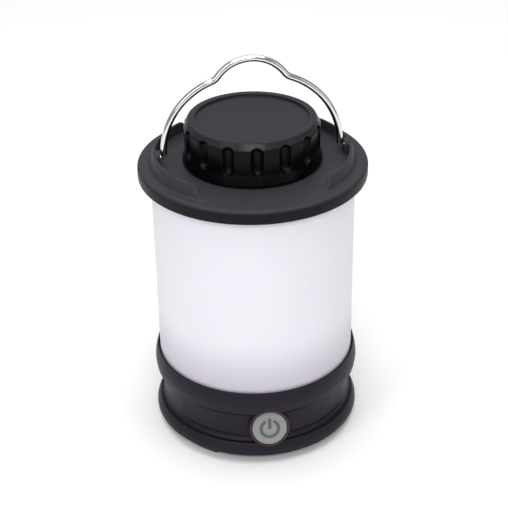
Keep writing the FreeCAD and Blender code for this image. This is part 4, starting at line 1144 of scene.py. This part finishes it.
@dataclass
class PowerButton:
    """Translucent button with a printed power symbol, inside a dark red ring."""

    radius: float = 7.05
    edge: float = 0.7
    dome: float = 0.12
    skirt: float = 2.6
    bezel_inner: float = 7.25
    bezel_outer: float = 8.0
    symbol_outer: float = 4.25
    symbol_inner: float = 2.85
    symbol_gap_deg: float = 35.0
    bar_half: float = 0.68
    bar_low: float = -0.3
    bar_high: float = 4.6
    button: ButtonFrame = field(default_factory=ButtonFrame)

    def face_height(self, distance: float) -> float:
        """Height of the domed face at a distance from its middle, below its rim's plane at most."""
        return -self.dome * (distance / self.radius) ** 2

    def cap(self) -> None:
        """Button with a slightly domed face, its retaining flange and its stem."""
        rings = [(d, self.face_height(d), 0) for d in np.linspace(0, self.radius - 0.05, 8)][:-1]
        flange = self.radius + 0.8
        outline = rounded([
            *rings,
            (self.radius, -0.12, self.edge),
            (self.radius, -self.skirt - 0.06, 0),
            (flange, -self.skirt - 0.06, 0.15),
            (flange, -self.skirt - 0.8, 0.15),
            (2.0, -self.skirt - 0.8, 0),
            (2.0, -self.skirt - 3.2, 0.2),
            (0, -self.skirt - 3.2, 0),
        ])
        piece = turned(outline, 128).moved(self.button.matrix()).to_object("button_face", SILICONE)
        settle(piece, Body.BUTTON, "button_grey", "button_cap")

    def symbol(self) -> None:
        """Open ring and bar with round ends, laid in the face."""
        middle = (self.symbol_outer + self.symbol_inner) / 2
        half = (self.symbol_outer - self.symbol_inner) / 2
        gap = math.radians(self.symbol_gap_deg)
        sweep = np.linspace(math.pi / 2 + gap, 5 * math.pi / 2 - gap, 49)
        outer = [(self.symbol_outer * math.cos(a), self.symbol_outer * math.sin(a)) for a in sweep]
        inner = [(self.symbol_inner * math.cos(a), self.symbol_inner * math.sin(a)) for a in sweep[::-1]]
        last = [(middle * math.cos(sweep[-1]) + half * math.cos(sweep[-1] + t),
                 middle * math.sin(sweep[-1]) + half * math.sin(sweep[-1] + t)) for t in np.linspace(0.3, 2.84, 7)]
        first = [(middle * math.cos(sweep[0]) + half * math.cos(sweep[0] + t),
                  middle * math.sin(sweep[0]) + half * math.sin(sweep[0] + t))
                 for t in np.linspace(math.pi + 0.3, math.pi + 2.84, 7)]
        arc = extruded(outer + last + inner + first, -0.35, 0.03)
        top = [(self.bar_half * math.cos(a), self.bar_high - self.bar_half + self.bar_half * math.sin(a))
               for a in np.linspace(0, math.pi, 11)]
        foot = [(self.bar_half * math.cos(a), self.bar_low + self.bar_half + self.bar_half * math.sin(a))
                for a in np.linspace(math.pi, 2 * math.pi, 11)]
        bar = extruded(top + foot, -0.35, 0.03)
        both = arc.plus(bar)
        both.points[:, 2] += np.array([self.face_height(math.hypot(p[0], p[1])) for p in both.points])
        piece = both.moved(self.button.matrix()).to_object("power_mark", INK)
        settle(piece, Body.BUTTON, "symbol_dark", "power_symbol")

    def bezel(self) -> None:
        """Thin dark red ring round the button."""
        outline = rounded([
            (self.bezel_inner, -1.7, 0), (self.bezel_outer, -1.7, 0),
            (self.bezel_outer, -0.4, 0.15), (self.bezel_inner, -0.4, 0.15)])
        piece = turned(outline, 128).moved(self.button.matrix()).to_object("button_ring", ACRYLIC)
        settle(piece, Body.LAMP, "bezel_red", "button_bezel")

    def build(self) -> None:
        """Make the button's pieces."""
        self.cap()
        self.symbol()
        self.bezel()


@dataclass
class PortFlap:
    """Rubber flap over the charging port, with its plug and a grip lip."""

    half_deg: float = 12.0
    thick: float = 1.5

    def build(self) -> None:
        """Make the flap and settle it."""
        low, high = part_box("port_flap")
        outer, foot, top = high[1] / MM, low[2] / MM, high[2] / MM
        inner = outer - self.thick
        outline = rounded([
            (inner, foot, 0.2), (outer - 0.3, foot, 0.4), (outer - 0.3, foot + 2.2, 0.5), (outer - 0.55, foot + 2.9, 0.3),
            (outer - 0.55, top - 2.2, 0.3), (outer, top - 1.5, 0.4), (outer, top, 0.5), (inner, top, 0.2)])
        half = math.radians(self.half_deg)
        plate = turned(outline, np.linspace(-half, half, 33) + math.pi / 2, whole=False)
        width, bottom, height = 4.2, foot + 4.15, 2.5
        corners = rounded([(-width, bottom, 1.0), (width, bottom, 1.0), (width, bottom + height, 1.0),
                           (-width, bottom + height, 1.0)])
        plug = extruded(corners, -(inner + 0.3), -(low[1] / MM))
        stand = Matrix(((1, 0, 0, 0), (0, 0, -1, 0), (0, 1, 0, 0), (0, 0, 0, 1)))
        piece = plate.plus(plug.moved(stand)).to_object("port_flap_rubber", RUBBER)
        settle(softened(piece, 0.25, 60.0), Body.FLAP, "flap_rubber", "port_flap")


@dataclass
class InnerWorks:
    """CAD nodes that show as they are, each with its own finish."""

    finishes: dict[str, Finish]

    def build(self) -> None:
        """Dress every carried-over node."""
        for name, finish in self.finishes.items():
            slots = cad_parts[name].material_slots
            for slot in slots:
                slot.material = finish.build()
            LOG.info("%s: %s", name, finish.name)


@dataclass
class Studio:
    """Pale floor, soft lights and the camera."""

    eye: tuple[float, float, float] = (-56.7, -448.7, 335.7)
    forward: tuple[float, float, float] = (0.10847, 0.85928, -0.49990)
    right: tuple[float, float, float] = (0.99093, -0.13340, -0.01430)
    lens: float = 90.56

    def camera(self) -> None:
        """Camera at the product shot's angle."""
        data = bpy.data.cameras.new("camera")
        data.lens = self.lens
        data.sensor_width = 36.0
        obj = bpy.data.objects.new("camera", data)
        right = Vector(self.right).normalized()
        ahead = Vector(self.forward).normalized()
        up = right.cross(ahead)
        turn = Matrix((right, up, -ahead)).transposed().to_4x4()
        obj.matrix_world = Matrix.Translation(Vector(self.eye) * MM) @ turn
        bpy.context.scene.collection.objects.link(obj)
        bpy.context.scene.camera = obj

    def light(self, name: str, at: tuple[float, float, float], size: tuple[float, float], power: float) -> None:
        """One soft box that looks at the lantern's middle, in metres and watts."""
        data = bpy.data.lights.new(name, "AREA")
        data.shape = "RECTANGLE"
        data.size, data.size_y = size
        data.energy = power
        obj = bpy.data.objects.new(name, data)
        aim = Vector((0, 0, 0.07)) - Vector(at)
        obj.matrix_world = Matrix.Translation(at) @ aim.to_track_quat("-Z", "Y").to_matrix().to_4x4()
        bpy.context.scene.collection.objects.link(obj)

    def floor(self) -> None:
        """Pale floor sheet under the lantern."""
        mesh = bpy.data.meshes.new("floor")
        side = 3.0
        mesh.from_pydata([(-side, -side, 0), (side, -side, 0), (side, side, 0), (-side, side, 0)], [], [(0, 1, 2, 3)])
        paper = Finish("matt_paper", "fbfbfc", "fcfcfd", 0.9, 0.02, grain_mm=2.0, grain_height_mm=0.004, drift_mm=90.0)
        mesh.materials.append(paper.build())
        obj = bpy.data.objects.new("floor", mesh)
        bpy.context.scene.collection.objects.link(obj)

    def build(self) -> None:
        """Set up the stage."""
        self.camera()
        self.floor()
        self.light("key_left", (-0.9, -0.7, 0.8), (0.5, 0.9), 3.2)
        self.light("fill_right", (1.0, -0.6, 0.5), (0.4, 0.8), 1.0)
        self.light("front", (-0.12, -1.05, 0.9), (0.7, 0.14), 6.0)
        self.light("overhead", (0.0, 0.0, 1.4), (1.5, 1.5), 15.5)
        self.light("backdrop", (0.15, 1.2, 0.95), (1.6, 0.8), 1.7)
        world = bpy.data.worlds.new("studio")
        world.use_nodes = True
        world.node_tree.nodes["Background"].inputs[0].default_value = linear("ffffff")
        world.node_tree.nodes["Background"].inputs[1].default_value = 0.32
        bpy.context.scene.world = world
        bpy.context.scene.view_settings.view_transform = "Standard"


def main() -> None:
    """Build the lantern's looks, then the stage."""
    logging.basicConfig(level=logging.INFO, format="%(name)s %(message)s")
    for assembly in (TopHousing(), BatteryCap(), Bail(), Shade(), BaseHousing(), BottomCover(), PowerButton(),
                     PortFlap(), InnerWorks(CARRIED_OVER), Studio()):
        assembly.build()


if __name__ == "__main__":
    main()
